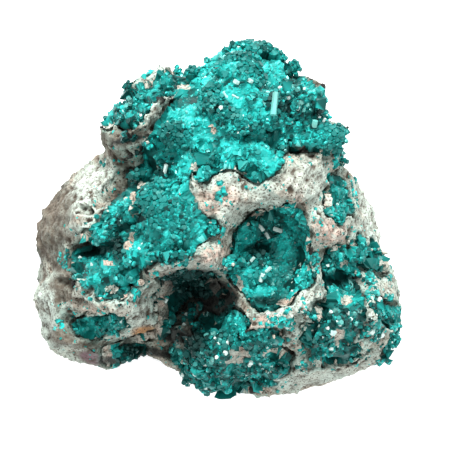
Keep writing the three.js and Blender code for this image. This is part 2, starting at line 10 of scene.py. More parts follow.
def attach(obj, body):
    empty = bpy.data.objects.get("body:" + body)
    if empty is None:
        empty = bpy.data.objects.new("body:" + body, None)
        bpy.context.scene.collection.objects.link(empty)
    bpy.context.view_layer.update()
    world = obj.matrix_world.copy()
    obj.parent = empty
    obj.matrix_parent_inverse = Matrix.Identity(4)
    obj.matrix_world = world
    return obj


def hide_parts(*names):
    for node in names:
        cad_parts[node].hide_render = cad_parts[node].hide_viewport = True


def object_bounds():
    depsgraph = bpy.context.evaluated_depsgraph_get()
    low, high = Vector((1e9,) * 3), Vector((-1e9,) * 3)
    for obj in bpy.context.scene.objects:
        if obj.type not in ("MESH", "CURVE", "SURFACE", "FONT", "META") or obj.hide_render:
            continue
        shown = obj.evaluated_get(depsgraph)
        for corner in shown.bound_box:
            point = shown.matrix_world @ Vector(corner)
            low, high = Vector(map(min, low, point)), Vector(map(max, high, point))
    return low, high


# A dioptase cluster: pale porous rock with druses of short dioptase crystals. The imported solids
# give the place of every piece; each one is replaced here by a finer mesh of the same form.
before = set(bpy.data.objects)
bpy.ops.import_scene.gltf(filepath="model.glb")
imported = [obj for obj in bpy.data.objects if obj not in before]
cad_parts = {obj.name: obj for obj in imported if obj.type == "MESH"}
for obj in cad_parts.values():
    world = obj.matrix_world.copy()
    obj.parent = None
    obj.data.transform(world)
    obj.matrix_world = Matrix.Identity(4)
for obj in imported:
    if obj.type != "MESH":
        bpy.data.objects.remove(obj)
cad_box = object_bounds()

MM = 0.001
ROCK_NODE = "matrix_rock"
DRUSE_NODES = [name for name in sorted(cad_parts) if name != ROCK_NODE]

# ---- relief that rock and crusts share ----
FLAT_BELOW = 0.4 * MM  # the broken base stays flat up to this height
RELIEF_FROM = 2.2 * MM  # and the relief has its full depth from this height up
# Each layer of lumps: their size, their height and the shift of their noise.
HEAVES = [(3.4 * MM, 0.60 * MM, 20), (1.5 * MM, 0.30 * MM, 27)]
HEAVE_CENTRE = 4 * MM  # the relief spreads from a point this far under the base
HEAVE_UPWARDS = 1.2  # and leans this much more upwards than straight away from that point
CREVICE_DEEPER = 1.1  # depth and width of the made crevices, as shares of the ones listed
CREVICE_WIDER = 1.35
PATCH_EDGE = (0.7, 1.35)  # shares of its size where a patch starts to fade, and where it is gone

# Humps and dents of the rim, in millimetres: the middle in plan, x and y, the radius, and how far
# it stands out.
HUMPS = [
    (-0.8, 24.6, 1.6, 1.1), (4.9, 25.3, 1.5, 0.3), (8.6, 23.6, 1.7, 1.3), (16.7, 18.2, 1.2, 0.8),
    (18.6, 12.9, 1.8, 1.2), (25.4, -20.6, 1.6, 1.2), (-2.2, -25.4, 1.2, 1.1), (0.8, -25.6, 1.2, 0.9),
    (-15.6, 17.0, 1.3, 0.6), (-6.2, 23.6, 1.1, -1.3), (-10.0, 22.4, 1.6, -0.6), (12.0, 24.0, 1.0, -0.9),
    (17.0, 16.2, 1.0, -1.3), (19.2, 9.6, 1.0, -1.3), (26.0, -4.2, 1.7, -0.7), (28.2, -18.2, 1.3, -1.0),
    (4.1, -26.2, 1.3, -1.0), (-5.2, -23.2, 1.2, -0.8), (-13.9, 19.3, 1.1, -0.9),
]

# Narrow crevices that cut rock and crystal crust alike, seen from above, in millimetres: x and y
# of the two ends, half the width, and the depth.
CREVICES = [
    # upper left lobe, and down the left of the main crust
    (-12.8, 19.0, -10.0, 18.6, 0.6, 1.2), (-6.1, 20.8, -4.6, 20.9, 0.2, 0.8),
    (-14.1, 13.9, -11.2, 14.6, 0.4, 1.6), (-10.9, 13.0, -9.9, 13.8, 0.4, 1.0),
    (-14.7, 9.9, -11.9, 10.8, 0.4, 1.6), (-11.9, 9.3, -10.1, 7.2, 0.7, 1.8),
    (-8.1, 6.6, -5.9, 5.7, 0.5, 1.4), (-1.6, 8.8, -0.2, 8.5, 0.4, 1.4),
    (-2.8, 11.3, -2.1, 11.1, 0.4, 0.8),
    # left face and left lobe
    (-16.0, 3.5, -14.1, 5.2, 0.4, 1.4), (-20.6, 1.9, -19.3, 1.5, 0.35, 1.8),
    (-15.3, -0.8, -12.8, 0.9, 0.7, 1.9), (-20.4, -4.2, -15.0, -4.6, 0.75, 2.6),
    (-20.9, 6.6, -19.5, 6.6, 0.4, 0.4), (-16.1, -10.4, -14.9, -11.2, 0.4, 0.9),
    (-24.1, -9.1, -22.1, -9.7, 0.4, 1.2), (-20.9, -11.9, -19.8, -12.3, 0.3, 0.9),
    (-9.9, -6.4, -5.5, -5.3, 0.3, 1.2), (-23.3, -15.1, -22.3, -15.4, 0.4, 1.0),
    (-18.8, -15.2, -14.4, -14.7, 0.4, 1.4),
    # crown and the band below it
    (10.2, 18.2, 12.3, 16.1, 0.9, 1.5), (7.7, 14.6, 8.5, 14.6, 0.3, 0.8),
    (4.5, 16.2, 4.9, 15.8, 0.4, 0.8), (5.8, 12.9, 8.8, 12.4, 0.5, 1.2),
    (1.3, 14.9, 2.0, 14.7, 0.4, 0.9), (3.5, 7.8, 4.8, 7.3, 0.4, 1.8),
    (6.8, 6.0, 8.5, 5.9, 0.4, 1.0), (10.6, 10.9, 14.6, 10.9, 0.4, 1.8),
    (16.7, 4.3, 17.4, 3.7, 0.6, 1.4), (-3.0, 3.7, -2.2, 3.5, 0.3, 0.7),
    # middle pocket
    (4.7, 0.7, 8.3, 0.3, 0.5, 1.8), (8.6, -1.1, 10.7, -0.8, 0.6, 1.2),
    (3.8, -2.4, 4.1, -3.3, 0.4, 1.0), (3.9, -4.0, 7.4, -4.0, 0.4, 1.8),
    (6.2, -5.8, 7.0, -6.6, 0.4, 1.2), (5.8, -12.2, 9.0, -11.9, 0.4, 1.2),
    # right and lower right
    (16.9, -8.4, 21.7, -8.9, 0.5, 2.2), (16.0, -4.7, 17.8, -4.7, 0.4, 1.6),
    (21.3, -6.3, 22.8, -6.2, 0.5, 1.4), (15.0, -12.8, 16.5, -13.5, 0.6, 1.8),
    (11.7, -14.6, 12.6, -14.4, 0.3, 1.2), (9.4, -16.5, 10.0, -17.6, 0.4, 1.0),
    (13.5, -17.3, 14.4, -17.5, 0.4, 1.2), (16.2, -21.1, 18.2, -21.1, 0.3, 1.2),
    (24.0, -12.6, 25.1, -12.6, 0.3, 1.2), (25.6, -15.2, 27.2, -15.2, 0.3, 1.2),
    # bottom
    (8.0, -20.4, 9.6, -20.7, 0.4, 1.2), (1.9, -22.6, 3.0, -23.5, 0.6, 1.3),
    (-1.1, -21.3, 0.0, -22.1, 0.5, 1.3), (-4.3, -20.3, -2.9, -21.1, 0.5, 1.0),
]

# ---- openness, which sets the painted shade ----
SKY_WAYS = 14  # directions looked in from each place
SKY_HEIGHTS = (0.97, 0.25)  # heights of the first and last of them, 1 being straight up
SKY_TURN = 2.4  # radians from one direction to the next
SKY_REACH = 9 * MM  # what stands further off hides nothing

# ---- rock ----
ROCK_VOXEL = 0.36 * MM
ROCK_SMOOTHING = 8
# Layers of fine relief, in the order that they are laid on: the texture, its height, and the
# level of the texture that leaves a corner where it is. A height below 0 turns the texture round.
ROCK_RELIEF = [("knobs", -0.60 * MM, 0.32), ("grains", 0.50 * MM, 0.5), ("pits", 0.35 * MM, 0.62)]
ROCK_RELIEF_SPAN = 0.8 * MM  # the fine relief from the darkest pit to the palest grain, for the painted shade of the pits
DRUSE_OVER = 2.4 * MM  # rock with a druse nearer than this straight over it is under the druse
DRUSE_FAR = 6 * MM  # and rock further than this from one counts as this far off
BARE_FROM = 0.7 * MM  # rock is bare from this far off a druse
GREEN_REACH = 0.8 * MM  # how far the green tinge of the rock spreads from a druse

# Stains and paler places of the rock, seen from above. Each is the middle, x and y, and the two
# half-lengths in millimetres, and the turn in degrees. All the lists of patches are made this way.
BROWN_STAINS = [
    (-22.8, -11.2, 1.5, 0.9, -30), (-19.3, -18.6, 2.7, 0.7, 5), (-25.4, 0.3, 3.2, 6.2, -15),
    (-21.8, -6.1, 0.7, 1.8, 30), (-18.9, -9.4, 2.7, 0.4, -40), (-17.8, -20.6, 3.8, 1.0, -10),
    (-24.1, -11.8, 0.6, 1.8, 0), (-23.8, -6.1, 1.8, 1.8, 0), (-23.4, -9.6, 2.2, 1.5, 0),
    (-27.0, -2.9, 1.2, 3.0, 0), (-23.5, -17.4, 2.1, 1.3, 0), (-15.6, -21.0, 4.1, 1.2, 5),
    (-14.9, 9.1, 2.2, 0.6, -40), (-17.0, 12.4, 0.6, 1.5, 0), (-13.6, 12.6, 3.0, 1.4, 10),
    (-3.0, -9.2, 5.0, 0.7, 5),
]
ROSY_STAINS = [
    (16.5, -1.8, 3.0, 2.2, -10), (-1.9, 2.4, 2.1, 1.8, -45), (1.0, 3.8, 2.0, 1.4, 0),
    (-0.5, -4.9, 2.4, 1.3, 10), (12.0, 0.9, 1.2, 3.0, 0), (1.5, -16.1, 0.7, 1.8, 0),
    (-19.3, -13.5, 1.2, 0.6, 0), (-15.6, -9.8, 1.2, 0.7, 0), (-10.1, 9.8, 2.1, 0.4, 40),
    (6.0, -15.0, 2.4, 1.0, 20),
]
ORANGE_STAINS = [
    (-10.7, -16.6, 1.9, 0.9, 0), (-10.7, -17.2, 2.2, 0.9, -8), (-8.6, -17.9, 0.7, 0.4, 0),
]
VIOLET_STAINS = [
    (-19.2, -20.7, 1.8, 1.0, -15),
]
# Paler places: partly the rock's own paler tone, partly painted light on rock that faces away from the
# lamps.
PALE_PLACES = [
    (10.2, -17.2, 1.8, 1.5, 0), (-10.0, -13.4, 1.3, 2.4, 0), (-11.9, -11.5, 1.8, 1.5, 0),
    (12.9, 6.1, 3.6, 3.1, 0), (-10.8, -13.4, 2.7, 2.7, 0), (-19.1, 5.4, 4.1, 2.4, 40),
    (15.4, -23.8, 8.9, 1.0, 10), (12.0, -13.7, 4.4, 1.8, 30), (-9.0, 22.2, 3.3, 1.2, 10),
    (-8.7, -13.6, 1.8, 1.8, 0), (-0.9, -5.9, 2.1, 1.5, 0), (10.1, -16.0, 1.5, 2.1, 0),
    (2.8, 1.4, 1.8, 1.5, 0), (16.5, -2.0, 2.1, 1.2, 0), (25.2, -6.2, 1.5, 2.1, 0),
    (21.8, -21.3, 2.1, 1.2, 0), (17.5, 4.7, 1.5, 2.1, 0), (-10.4, 15.2, 3.2, 0.9, 44),
    (6.4, 5.3, 3.8, 1.3, 0), (-26.2, -13.4, 1.5, 4.1, 0), (23.8, -1.6, 1.4, 6.0, 12),
    (-6.0, -6.1, 3.2, 1.2, 15), (6.6, 2.0, 3.2, 0.9, 0),
]

# Places where the rock is full of small holes, besides along the druses.
PITTED_PLACES = [
    (-19.6, -7.9, 3.8, 1.8, -35), (-19.3, -16.4, 5.3, 1.2, 0), (16.5, -14.6, 4.4, 3.7, 0),
    (-0.5, 6.0, 3.0, 1.8, 0), (6.1, -16.0, 3.0, 1.5, 0), (-20.1, 1.8, 1.2, 0.6, -10),
    (-14.0, 12.4, 2.8, 1.6, 0),
]
HOLE_DEPTH = 0.9 * MM
HOLES_EVERYWHERE = 0.25  # depth of the holes as a share of the full depth: all over the rock,
HOLES_IN_CLUSTERS = 1.8  # where they gather,
HOLES_BY_DRUSES = 0.7  # and close to a druse
HOLE_CLUSTER = 2.8 * MM
HOLES_REACH = 1.2 * MM
PALE_LIFT = 0.50  # painted light: how much more open a pale place counts than it is, so it takes less painted shade

# ---- druses ----
CRUST_VOXEL = 0.42 * MM
CRUST_SMOOTHING = 14
THIN_BELOW = 1.7 * MM  # a spike or sheet thinner than this is smoothed away
THIN_OFF_ROCK = 0.6 * MM  # unless its far side is nearer to the rock than this
THIN_ROUNDS = 2
THIN_SMOOTHING = 60  # smoothing steps of each round
CRUST_SWELL = 0.45 * MM  # closes the clearance between a druse and its bed
CRUST_SINK = 0.38 * MM  # leaves room for the crystals under the crust's outermost corners
CRUST_ROUNDING = 50  # smoothing steps of the rounded form that a crust is held to
CRUST_STAND = 0.35 * MM  # a crust stands no further than this off its rounded form
CRUST_HELD = (0.1 * MM, 0.9 * MM)  # from this far to this far inside its border
BED_REACH = 1.3 * MM  # a face of the crust that looks at rock nearer than this bears no crystals
# Layers of fine relief, as for the rock. They set in between these distances from the border.
CRUST_RELIEF = [("lobes", -1.5 * MM, 0.18), ("buds", -0.8 * MM, 0.30), ("sugar", -0.35 * MM, 0.3)]
CRUST_RELIEF_FROM = (0.3 * MM, 1.6 * MM)
BARE_ABOVE = 0.75  # rock shows where a bare patch and half the ragged noise come to more
RAGGED = (0.38, 0.45)  # noise above which rock shows: at the border, and what the reach adds
RAGGED_REACH = 2.2 * MM
RAGGED_SIZE = 1.3 * MM
CRUST_TINT = (0.15, 0.53)  # painted shade of the crust between and under the crystals: share of a crystal's tint against the bed, and what the outside adds
CRUST_RISE = 0.5  # how high up a crystal the crust's colour is taken, in the painted shade at the crystals' feet
CRUST_OPENNESS = 0.8  # share of the sky that the rock in a crust counts as seeing, which sets its painted shade

# Places in the crusts where the rock shows.
BARE_PATCHES = [
    (6.4, 2.1, 2.8, 0.6, 0), (-9.6, -16.6, 2.2, 0.9, 0), (-5.0, 20.1, 1.4, 0.7, 0),
    (-0.8, 13.5, 0.6, 1.3, 20), (-12.4, 1.3, 0.9, 1.3, 0), (-13.0, -3.1, 0.7, 1.7, -20),
    (-15.6, -10.0, 1.3, 0.7, 0), (-15.8, -6.1, 1.6, 0.6, 0), (3.6, -19.6, 1.5, 1.0, -20),
    (9.0, -19.2, 3.0, 0.8, 15), (19.2, -11.9, 1.1, 1.0, 0), (17.8, -16.9, 1.4, 1.2, 0),
    (18.9, -6.4, 0.9, 0.7, 0), (21.8, -19.0, 1.0, 1.4, 0), (-13.5, -18.1, 3.8, 0.9, 8),
    (-3.4, 8.1, 0.9, 0.9, 0), (16.0, 2.4, 0.7, 2.1, 5), (3.2, -9.5, 0.7, 1.9, 15),
    (10.0, -12.0, 1.5, 0.6, 10), (14.9, -13.4, 0.7, 1.5, 0), (2.6, -19.5, 1.3, 0.9, 0),
    (15.2, -21.2, 1.5, 0.6, 0), (-11.4, 5.3, 0.9, 0.7, 0), (-12.5, 3.6, 0.7, 1.0, 0),
    (20.1, -3.6, 1.2, 0.6, 0), (16.9, -4.1, 1.5, 0.6, 10), (6.8, 1.4, 1.2, 0.6, 0),
    (-8.7, -11.3, 0.7, 2.1, 10), (-7.9, -9.5, 1.2, 0.6, 40), (12.1, -15.8, 1.2, 0.6, 0),
    (25.6, -6.0, 1.3, 2.2, 0), (5.9, -25.9, 2.7, 0.9, 0), (-16.9, -19.8, 1.0, 1.3, 0),
    (12.0, 10.2, 2.4, 0.6, 0), (3.9, 7.2, 2.1, 0.6, 0), (-9.0, 22.5, 3.0, 0.9, 0),
    (-10.6, 21.0, 1.2, 1.3, 0), (-8.7, -13.6, 1.3, 1.8, 0), (-0.9, -5.9, 1.8, 1.3, 0),
    (10.1, -16.6, 1.3, 1.8, 0), (21.8, -21.3, 1.8, 1.0, 0), (-8.5, 16.3, 3.3, 0.8, 45),
    (26.2, -3.6, 1.3, 1.5, 0), (3.9, -26.7, 1.6, 1.0, 0), (-16.4, 14.0, 1.5, 0.7, 0),
    (-15.0, 8.0, 1.8, 0.7, 0), (-19.8, -1.9, 1.3, 1.3, 0), (-7.9, -10.2, 1.5, 1.2, 0),
    (0.0, -9.6, 1.5, 1.8, 0), (-9.3, -16.6, 1.3, 1.8, 0), (-19.0, -13.8, 2.4, 0.6, 5),
    (-18.5, -17.9, 3.0, 0.6, 0), (-10.4, -18.8, 2.4, 0.4, -5), (-16.6, -21.3, 1.2, 0.9, 0),
    (2.4, -21.0, 1.8, 0.6, 0), (6.5, 1.2, 2.1, 0.6, 20), (13.8, -3.5, 0.9, 2.1, 0),
    (12.6, -11.3, 1.8, 1.2, 0), (16.3, 3.2, 0.6, 2.7, 0), (12.8, 10.5, 2.1, 0.6, 0),
    (15.3, 8.7, 0.7, 1.3, 0),
]

# Places on the rock that small crystals cover.
COVERED_PATCHES = [
    (21.6, -10.0, 1.6, 1.8, 0), (-23.2, -15.8, 1.3, 0.7, 0), (-23.0, -6.1, 0.9, 1.2, 20),
    (-13.3, -11.2, 1.9, 0.7, 25), (-11.9, -10.1, 0.9, 0.9, 0), (-4.3, -13.8, 1.9, 1.9, -30),
    (-5.2, -18.4, 1.3, 1.2, 0), (-8.0, -18.9, 1.3, 0.6, 20), (22.5, -10.0, 1.2, 3.3, 0),
    (24.2, -16.7, 0.9, 2.1, 0), (22.2, -17.5, 0.9, 2.4, -20), (25.6, -21.1, 1.5, 0.7, 25),
    (14.5, -6.0, 1.0, 1.5, 20), (17.6, 8.9, 1.3, 0.7, -30), (20.0, 4.4, 0.6, 2.1, 15),
    (9.8, -15.2, 2.4, 0.9, -8), (1.2, -12.6, 1.2, 0.9, 0), (-14.5, -19.9, 0.9, 0.6, 0),
    (-5.0, -6.0, 1.0, 0.7, 0), (-1.9, 6.0, 2.4, 0.4, -15), (13.8, -21.6, 1.3, 0.4, 0),
    (12.8, -19.2, 0.6, 1.5, 0), (-17.3, 8.9, 0.6, 0.6, 0), (-13.0, 12.3, 1.2, 0.5, 0),
    (-15.2, 13.4, 0.8, 0.4, 0), (-10.3, 21.8, 1.0, 0.6, 20), (0.6, 3.7, 0.6, 0.6, 0),
    (25.5, -11.9, 1.2, 0.7, 30),
]

# Places where the crystals are a brighter turquoise: partly their own tone, partly painted light.
BRIGHT_PATCHES = [
    (-8.1, 18.8, 1.8, 1.8, 0), (-11.7, 9.1, 1.5, 1.2, 0), (2.6, -4.3, 1.2, 2.7, 0),
    (-0.9, 22.0, 2.4, 2.0, 0), (-17.6, -1.7, 2.2, 1.6, 30), (-7.1, -2.1, 2.8, 2.4, 0),
    (-14.9, -8.1, 5.5, 1.6, -12), (13.2, 12.1, 4.0, 1.0, 10), (7.4, -8.5, 3.4, 2.0, 0),
    (16.8, -19.1, 3.2, 1.2, -5), (20.8, -4.5, 2.4, 1.2, 0), (1.4, -24.5, 4.4, 1.4, -10),
    (3.6, -3.2, 1.8, 1.2, 0), (17.4, 6.5, 1.4, 1.4, 0), (26.2, -17.1, 2.0, 1.6, -20),
    (-11.4, 16.1, 2.4, 2.0, 0), (-8.3, 15.6, 1.8, 1.6, 0), (-8.9, -13.6, 1.2, 1.4, 0),
    (11.0, 1.0, 1.8, 1.2, 0), (2.9, -2.4, 1.4, 1.4, 0), (-0.9, -24.0, 2.6, 1.6, 0),
    (6.2, -24.2, 2.0, 1.4, 0), (14.0, -17.6, 1.8, 1.8, 0), (-16.0, -2.8, 1.8, 1.8, 0),
    (-12.0, 8.6, 1.8, 1.6, 0),
]

# Painted shade: places so deep or so shaded that crystals and rock are painted nearly black.
DARK_PATCHES = [
    (-16.0, -21.1, 1.8, 0.7, 0), (-2.7, -10.0, 5.0, 1.5, 0), (1.9, -12.2, 1.0, 1.8, -10),
    (-6.4, -17.4, 2.8, 1.2, 0), (-17.7, -4.4, 3.3, 0.9, 4), (-4.2, -8.6, 4.1, 1.0, 4),
    (-0.5, -11.9, 3.3, 2.7, -20), (-12.6, -20.0, 1.8, 0.7, 0), (-6.4, -17.2, 2.1, 1.0, 0),
    (-7.1, 8.5, 1.5, 0.4, 5), (-8.6, 7.3, 0.6, 0.7, 0), (-14.6, -0.1, 0.6, 1.0, 15),
    (-7.3, -5.4, 2.7, 0.3, 18), (-4.1, 10.5, 1.0, 0.3, 0), (7.9, 17.7, 0.7, 0.4, 0),
    (9.9, 16.6, 0.9, 0.7, 0), (-3.4, -18.0, 1.6, 2.2, 0), (-10.4, -19.9, 4.4, 0.7, -8),
    (-13.2, 12.0, 2.6, 0.4, 10), (19.0, -8.8, 2.8, 0.9, 0), (5.8, -4.2, 2.6, 0.8, 0),
    (7.0, -11.8, 2.4, 0.6, 0), (12.4, 10.6, 3.2, 0.6, 0), (-4.2, -8.1, 4.4, 1.1, 4),
    (-14.6, -3.2, 0.7, 2.1, 10),
]

# Places where dark, clear and white crystals stand side by side; the white ones are partly painted
# glints.
SPARKLING_PATCHES = [
    (23.0, -16.3, 3.8, 3.8, 0), (2.5, -21.4, 6.7, 4.1, 0), (12.7, 17.1, 3.8, 3.6, 0),
    (-13.0, 16.8, 3.3, 2.4, 30), (16.5, -16.8, 3.8, 3.8, 0),
]

# Sizes of crystal on a druse, biggest first: the form, width, spacing as a share of it, and how
# long the free part is, in widths.
CRYSTAL_SIZES = [
    ("prism", {"width": (0.80 * MM, 1.15 * MM), "spacing": 2.40, "length": (0.10, 0.30)}),
    ("prism", {"width": (0.55 * MM, 0.85 * MM), "spacing": 0.66, "length": (0.12, 0.44)}),
    ("rhomb", {"width": (0.40 * MM, 0.62 * MM), "spacing": 0.58, "length": (0.12, 0.44)}),
]
CRYSTAL_SEEDS = 26.0 / MM**2  # places tried for crystals
CROWDING = 0.55  # share of its own width that a crystal keeps free of smaller ones
SUNK = 0.85  # depth of a crystal's foot under the crust, in widths
TIP_REACH = 2.1 * MM  # a crystal's tip stands no further than this off the bed
TIP_ROOM = 0.45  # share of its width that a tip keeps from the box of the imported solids
LEAN = 0.52  # spread of the crystals' lean from the crust's normal

# Tint of a crystal, from 0, deep green, to 1, bright turquoise. Painted shade is laid into it as well.
TINT = 0.90  # in the middle of the spread
TINT_SPREAD = 0.10  # from crystal to crystal
TINT_DRIFT = 0.55  # from place to place, by each of the two noises
TINT_NOISES = [(3.6 * MM, 0.0), (1.5 * MM, 5)]  # their size and shift
BRIGHTER = 0.28  # what a bright patch adds
SPARKLE = 0.32  # spread and share of dark crystals that a sparkling patch adds
SPARKLE_MIDDLE = -0.2  # middle of that spread
DARK_SHARE = 0.07  # share of crystals that are dark anywhere
DARK_TINT = 0.15  # what is left of the tint in a dark crystal
DARKER = 0.95  # painted shade: what a dark patch takes away
LOW_TINT = 0.28  # painted shade: what is left between the lobes of a crust
LOBES_LOW = (-1.05 * MM, -0.25 * MM)  # relief of a crust between the lobes, and on them
HIDDEN_TINT = 0.10  # painted shade: what is left where no sky is seen

# Milkiness, from 0, clear, to 1, white.
MILK_MIDDLE = -0.1  # below 0, so most crystals are clear
MILK_SPREAD = 0.10
MILK_DRIFT = 0.5
MILK_SIZE = 1.7 * MM  # of the noise that it drifts with
WHITE_AND_GLINT_SHARE = 0.012  # share of crystals that are nearly white: partly real white crystals, partly painted glints
MILKY_SPARKLE = 7  # a sparkling patch adds this many times that share
MILKY_BELOW = 0.72 * MM  # only crystals narrower than this are nearly white
MILK = 0.9  # of a nearly white crystal
WIDE_MILK = 0.4  # what is left of the milkiness in a wider one

# Strays: single small crystals on the bare rock, thinning out away from the druses.
STRAY_SEEDS = 9.0 / MM**2
STRAY_REACH = 0.9 * MM
STRAY_CLUMP = 0.9 * MM  # size of the clumps that strays stand in
STRAY_CLUMP_EDGE = (0.0, 0.15)  # noise at the edge of a clump, and well inside it
STRAY_WIDTHS = (0.26 * MM, 0.50 * MM)  # the narrowest, and how much wider the widest is
STRAY_WIDER = 0.30 * MM  # on a covered patch
STRAY_LENGTHS = (0.2, 0.6)  # in widths
STRAY_TINTS = (0.15, 0.75)  # share of the tint that a crystal of a druse would have there
MIXED_SHARE = 0.55  # share of the places in a mixed patch that bear a stray
COVERED_SHARE = 0.8
# Places where rock and single crystals are mixed.
MIXED_PATCHES = [
    (9.6, -16.2, 4.2, 1.2, 10), (23.6, -15.0, 1.6, 2.6, 0), (13.0, -16.6, 1.6, 2.0, 0),
    (-9.6, 20.8, 2.4, 0.7, 0), (1.0, 3.0, 1.4, 1.0, 0), (25.6, -8.6, 0.8, 1.6, 0),
    (13.2, -22.2, 3.0, 0.7, 8), (-6.0, -15.6, 3.4, 1.2, 0),
]

# Crystals that stand out: foot and tip in plan, width in millimetres, and how milky they are. The
# whitest are partly painted reflections off crystal faces.
LONE_CRYSTALS = [
    ((8.4, 18.4), (8.0, 15.0), 0.90, 0.45),
    ((0.9, 18.8), (1.6, 17.7), 0.45, 0.65),
    ((2.2, 18.4), (3.2, 17.9), 0.36, 0.70),
    ((2.8, 20.6), (3.0, 21.0), 1.10, 0.75),
    ((4.8, 20.7), (5.0, 21.1), 0.95, 0.75),
    ((8.6, -1.2), (10.8, -2.0), 0.70, 0.85),
    ((6.3, -0.8), (6.9, -1.6), 0.60, 1.00),
    ((7.2, -2.0), (7.7, -2.8), 0.55, 1.00),
    ((6.4, -8.7), (6.8, -7.5), 0.70, 0.85),
    ((7.3, -7.4), (8.0, -6.7), 0.60, 0.80),
    ((5.0, -5.8), (5.5, -5.2), 0.50, 0.80),
    ((14.2, 14.2), (14.4, 15.2), 0.90, 0.50),
    ((15.6, 14.8), (15.9, 15.3), 0.40, 1.00),
    ((-7.9, 7.3), (-7.6, 8.6), 0.60, 1.00),
    ((17.0, -16.4), (17.3, -15.8), 1.00, 0.80),
    ((-7.9, -12.0), (-7.6, -11.4), 0.60, 0.90),
]
LONE_TINT = 0.35
LONE_SLOPE = 0.40  # rise of such a crystal over its length in plan
LONE_LIFT = 0.30  # of its foot over what is under it, in widths
LONE_SUNK = 0.4

# ---- crumbs ----
CRUMB_SEEDS = 0.6 / MM**2
CRUMB_WIDTHS = (0.30 * MM, 0.75 * MM)
CRUMB_REACH = 0.7 * MM  # how far crumbs lie from the edge of a druse
CRUMB_CHANCE = 1.2  # at the very edge, in the middle of a clump
CRUMB_CLUMP = 1.4 * MM
CRUMB_CLUMP_EDGE = (0.0, 0.3)
CRUMB_STRETCH = 0.35  # spread of a crumb's length, breadth and height
CRUMB_ROUGHNESS = 0.14  # spread of its corners
CRUMB_RELIEF = (0.45, 0.9)  # how pale crumbs are, and how rosy
CRUMB_ROSY = (0, 0.25)

# ---- forms of crystal ----
RHOMB_SLOPE = math.radians(50.8)  # of a rhomb's face, from level
GRAIN_TALL = 0.62  # half the height of a rhombohedral grain, in widths

# ---- patterns of the rock, as many to the metre ----
BLOTCHES = 170
FINE_BLOTCHES = 1300
PORES = 1500
DARK_GRAINS = 3400
GRIT = 2600
GRIT_HEIGHT = 0.30 * MM

# ---- colours ----
ROCK_BODY = [
    (0.34, (0.40, 0.31, 0.24)), (0.42, (0.49, 0.44, 0.36)), (0.50, (0.55, 0.62, 0.54)),
    (0.60, (0.47, 0.55, 0.48)), (0.70, (0.31, 0.35, 0.30)),
]
PALE_ROCK = (0.56, 0.635, 0.555, 1)
ROSY_ROCK = (0.60, 0.42, 0.34, 1)
BROWN_ROCK = (0.13, 0.105, 0.075, 1)
ORANGE_ROCK = (0.50, 0.25, 0.10, 1)
VIOLET_ROCK = (0.20, 0.10, 0.13, 1)
GREEN_ROCK = (0.20, 0.42, 0.36, 1)
PIT_SHADE_BROWN = (0.085, 0.065, 0.045, 1)
PORE_BROWN = (0.07, 0.05, 0.035, 1)
SPECK_BROWN = (0.10, 0.075, 0.055, 1)
DEEP_SHADE = (0.012, 0.016, 0.014, 1)
# Painted shade: what is left of the rock's colour, by the share of the sky that it sees.
ROCK_BY_SKY = [
    (0.12, (0.03, 0.026, 0.022)), (0.40, (0.42, 0.40, 0.37)), (0.62, (0.90, 0.89, 0.87)),
    (0.9, (1, 1, 1)),
]
DIOPTASE_GREENS = [
    (0.0, (0.002, 0.016, 0.014)), (0.26, (0.014, 0.34, 0.305)), (0.56, (0.024, 0.56, 0.51)),
    (1.0, (0.034, 0.60, 0.55)),
]
# The whitest end of the milkiness is partly painted glints.
DIOPTASE_MILK = [
    (0.0, (0.10, 0.62, 0.56)), (0.5, (0.30, 0.66, 0.58)), (0.9, (0.72, 0.84, 0.79)),
]
GLINT_TINT = (0.45, 1.0, 0.93, 1)
DIOPTASE_IOR = 1.5

# ---- camera and lights ----
CAMERA_PLACE = (1.02 * MM, -0.58 * MM, 0.45)
SIGHT_Z = 0.010  # height of the specimen's middle
PICTURE_PIXELS = 450
PIXEL_SIZE = 0.1515 * MM  # at the height of the specimen's middle
SENSOR_WIDTH = 36
FLOOR_SIZE = 2.4
FLOOR_GAP = 0.02 * MM  # of the floor under the base
SKY_COLOUR = (0.93, 0.97, 1.0, 1)
SKY_STRENGTH = 0.70
# Lights: name, place, size and power. All aim at one place in the specimen.
LIGHTS = [
    ("key", (0.00, 0.30, 0.31), 0.16, 3.1),
    ("fill", (0.18, -0.25, 0.40), 0.30, 0.7),
    ("glint", (-0.20, 0.02, 0.36), 0.03, 0.25),
]
LIGHTS_AIM = (0, 0, 0.012)


# ---- small tools ----
def pick(*pieces):
    """Selects only these pieces, and makes the last one active."""
    bpy.ops.object.select_all(action="DESELECT")
    for piece in pieces:
        piece.select_set(True)
        bpy.context.view_layer.objects.active = piece


def apply_modifier(piece, kind, **settings):
    """Puts a modifier on a piece and applies it."""
    modifier = piece.modifiers.new(kind.lower(), kind)
    for setting, value in settings.items():
        setattr(modifier, setting, value)
    pick(piece)
    bpy.ops.object.modifier_apply(modifier=modifier.name)


def copy_of(node, name):
    """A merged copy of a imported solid, as a piece of its own."""
    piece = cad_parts[node].copy()
    piece.data = piece.data.copy()
    piece.name = piece.data.name = name
    for key in list(piece.keys()):
        del piece[key]
    piece.parent = None
    piece.data.materials.clear()
    bpy.context.scene.collection.objects.link(piece)
    pick(piece)
    bpy.ops.object.mode_set(mode="EDIT")
    bpy.ops.mesh.select_all(action="SELECT")
    bpy.ops.mesh.remove_doubles(threshold=1e-6)
    bpy.ops.object.mode_set(mode="OBJECT")
    return piece


def corners_of(piece):
    places = np.empty(len(piece.data.vertices) * 3, np.float32)
    piece.data.vertices.foreach_get("co", places)
    return places.reshape(-1, 3).astype(float)


def normals_of(piece):
    normals = np.empty(len(piece.data.vertices) * 3, np.float32)
    piece.data.vertices.foreach_get("normal", normals)
    return normals.reshape(-1, 3).astype(float)


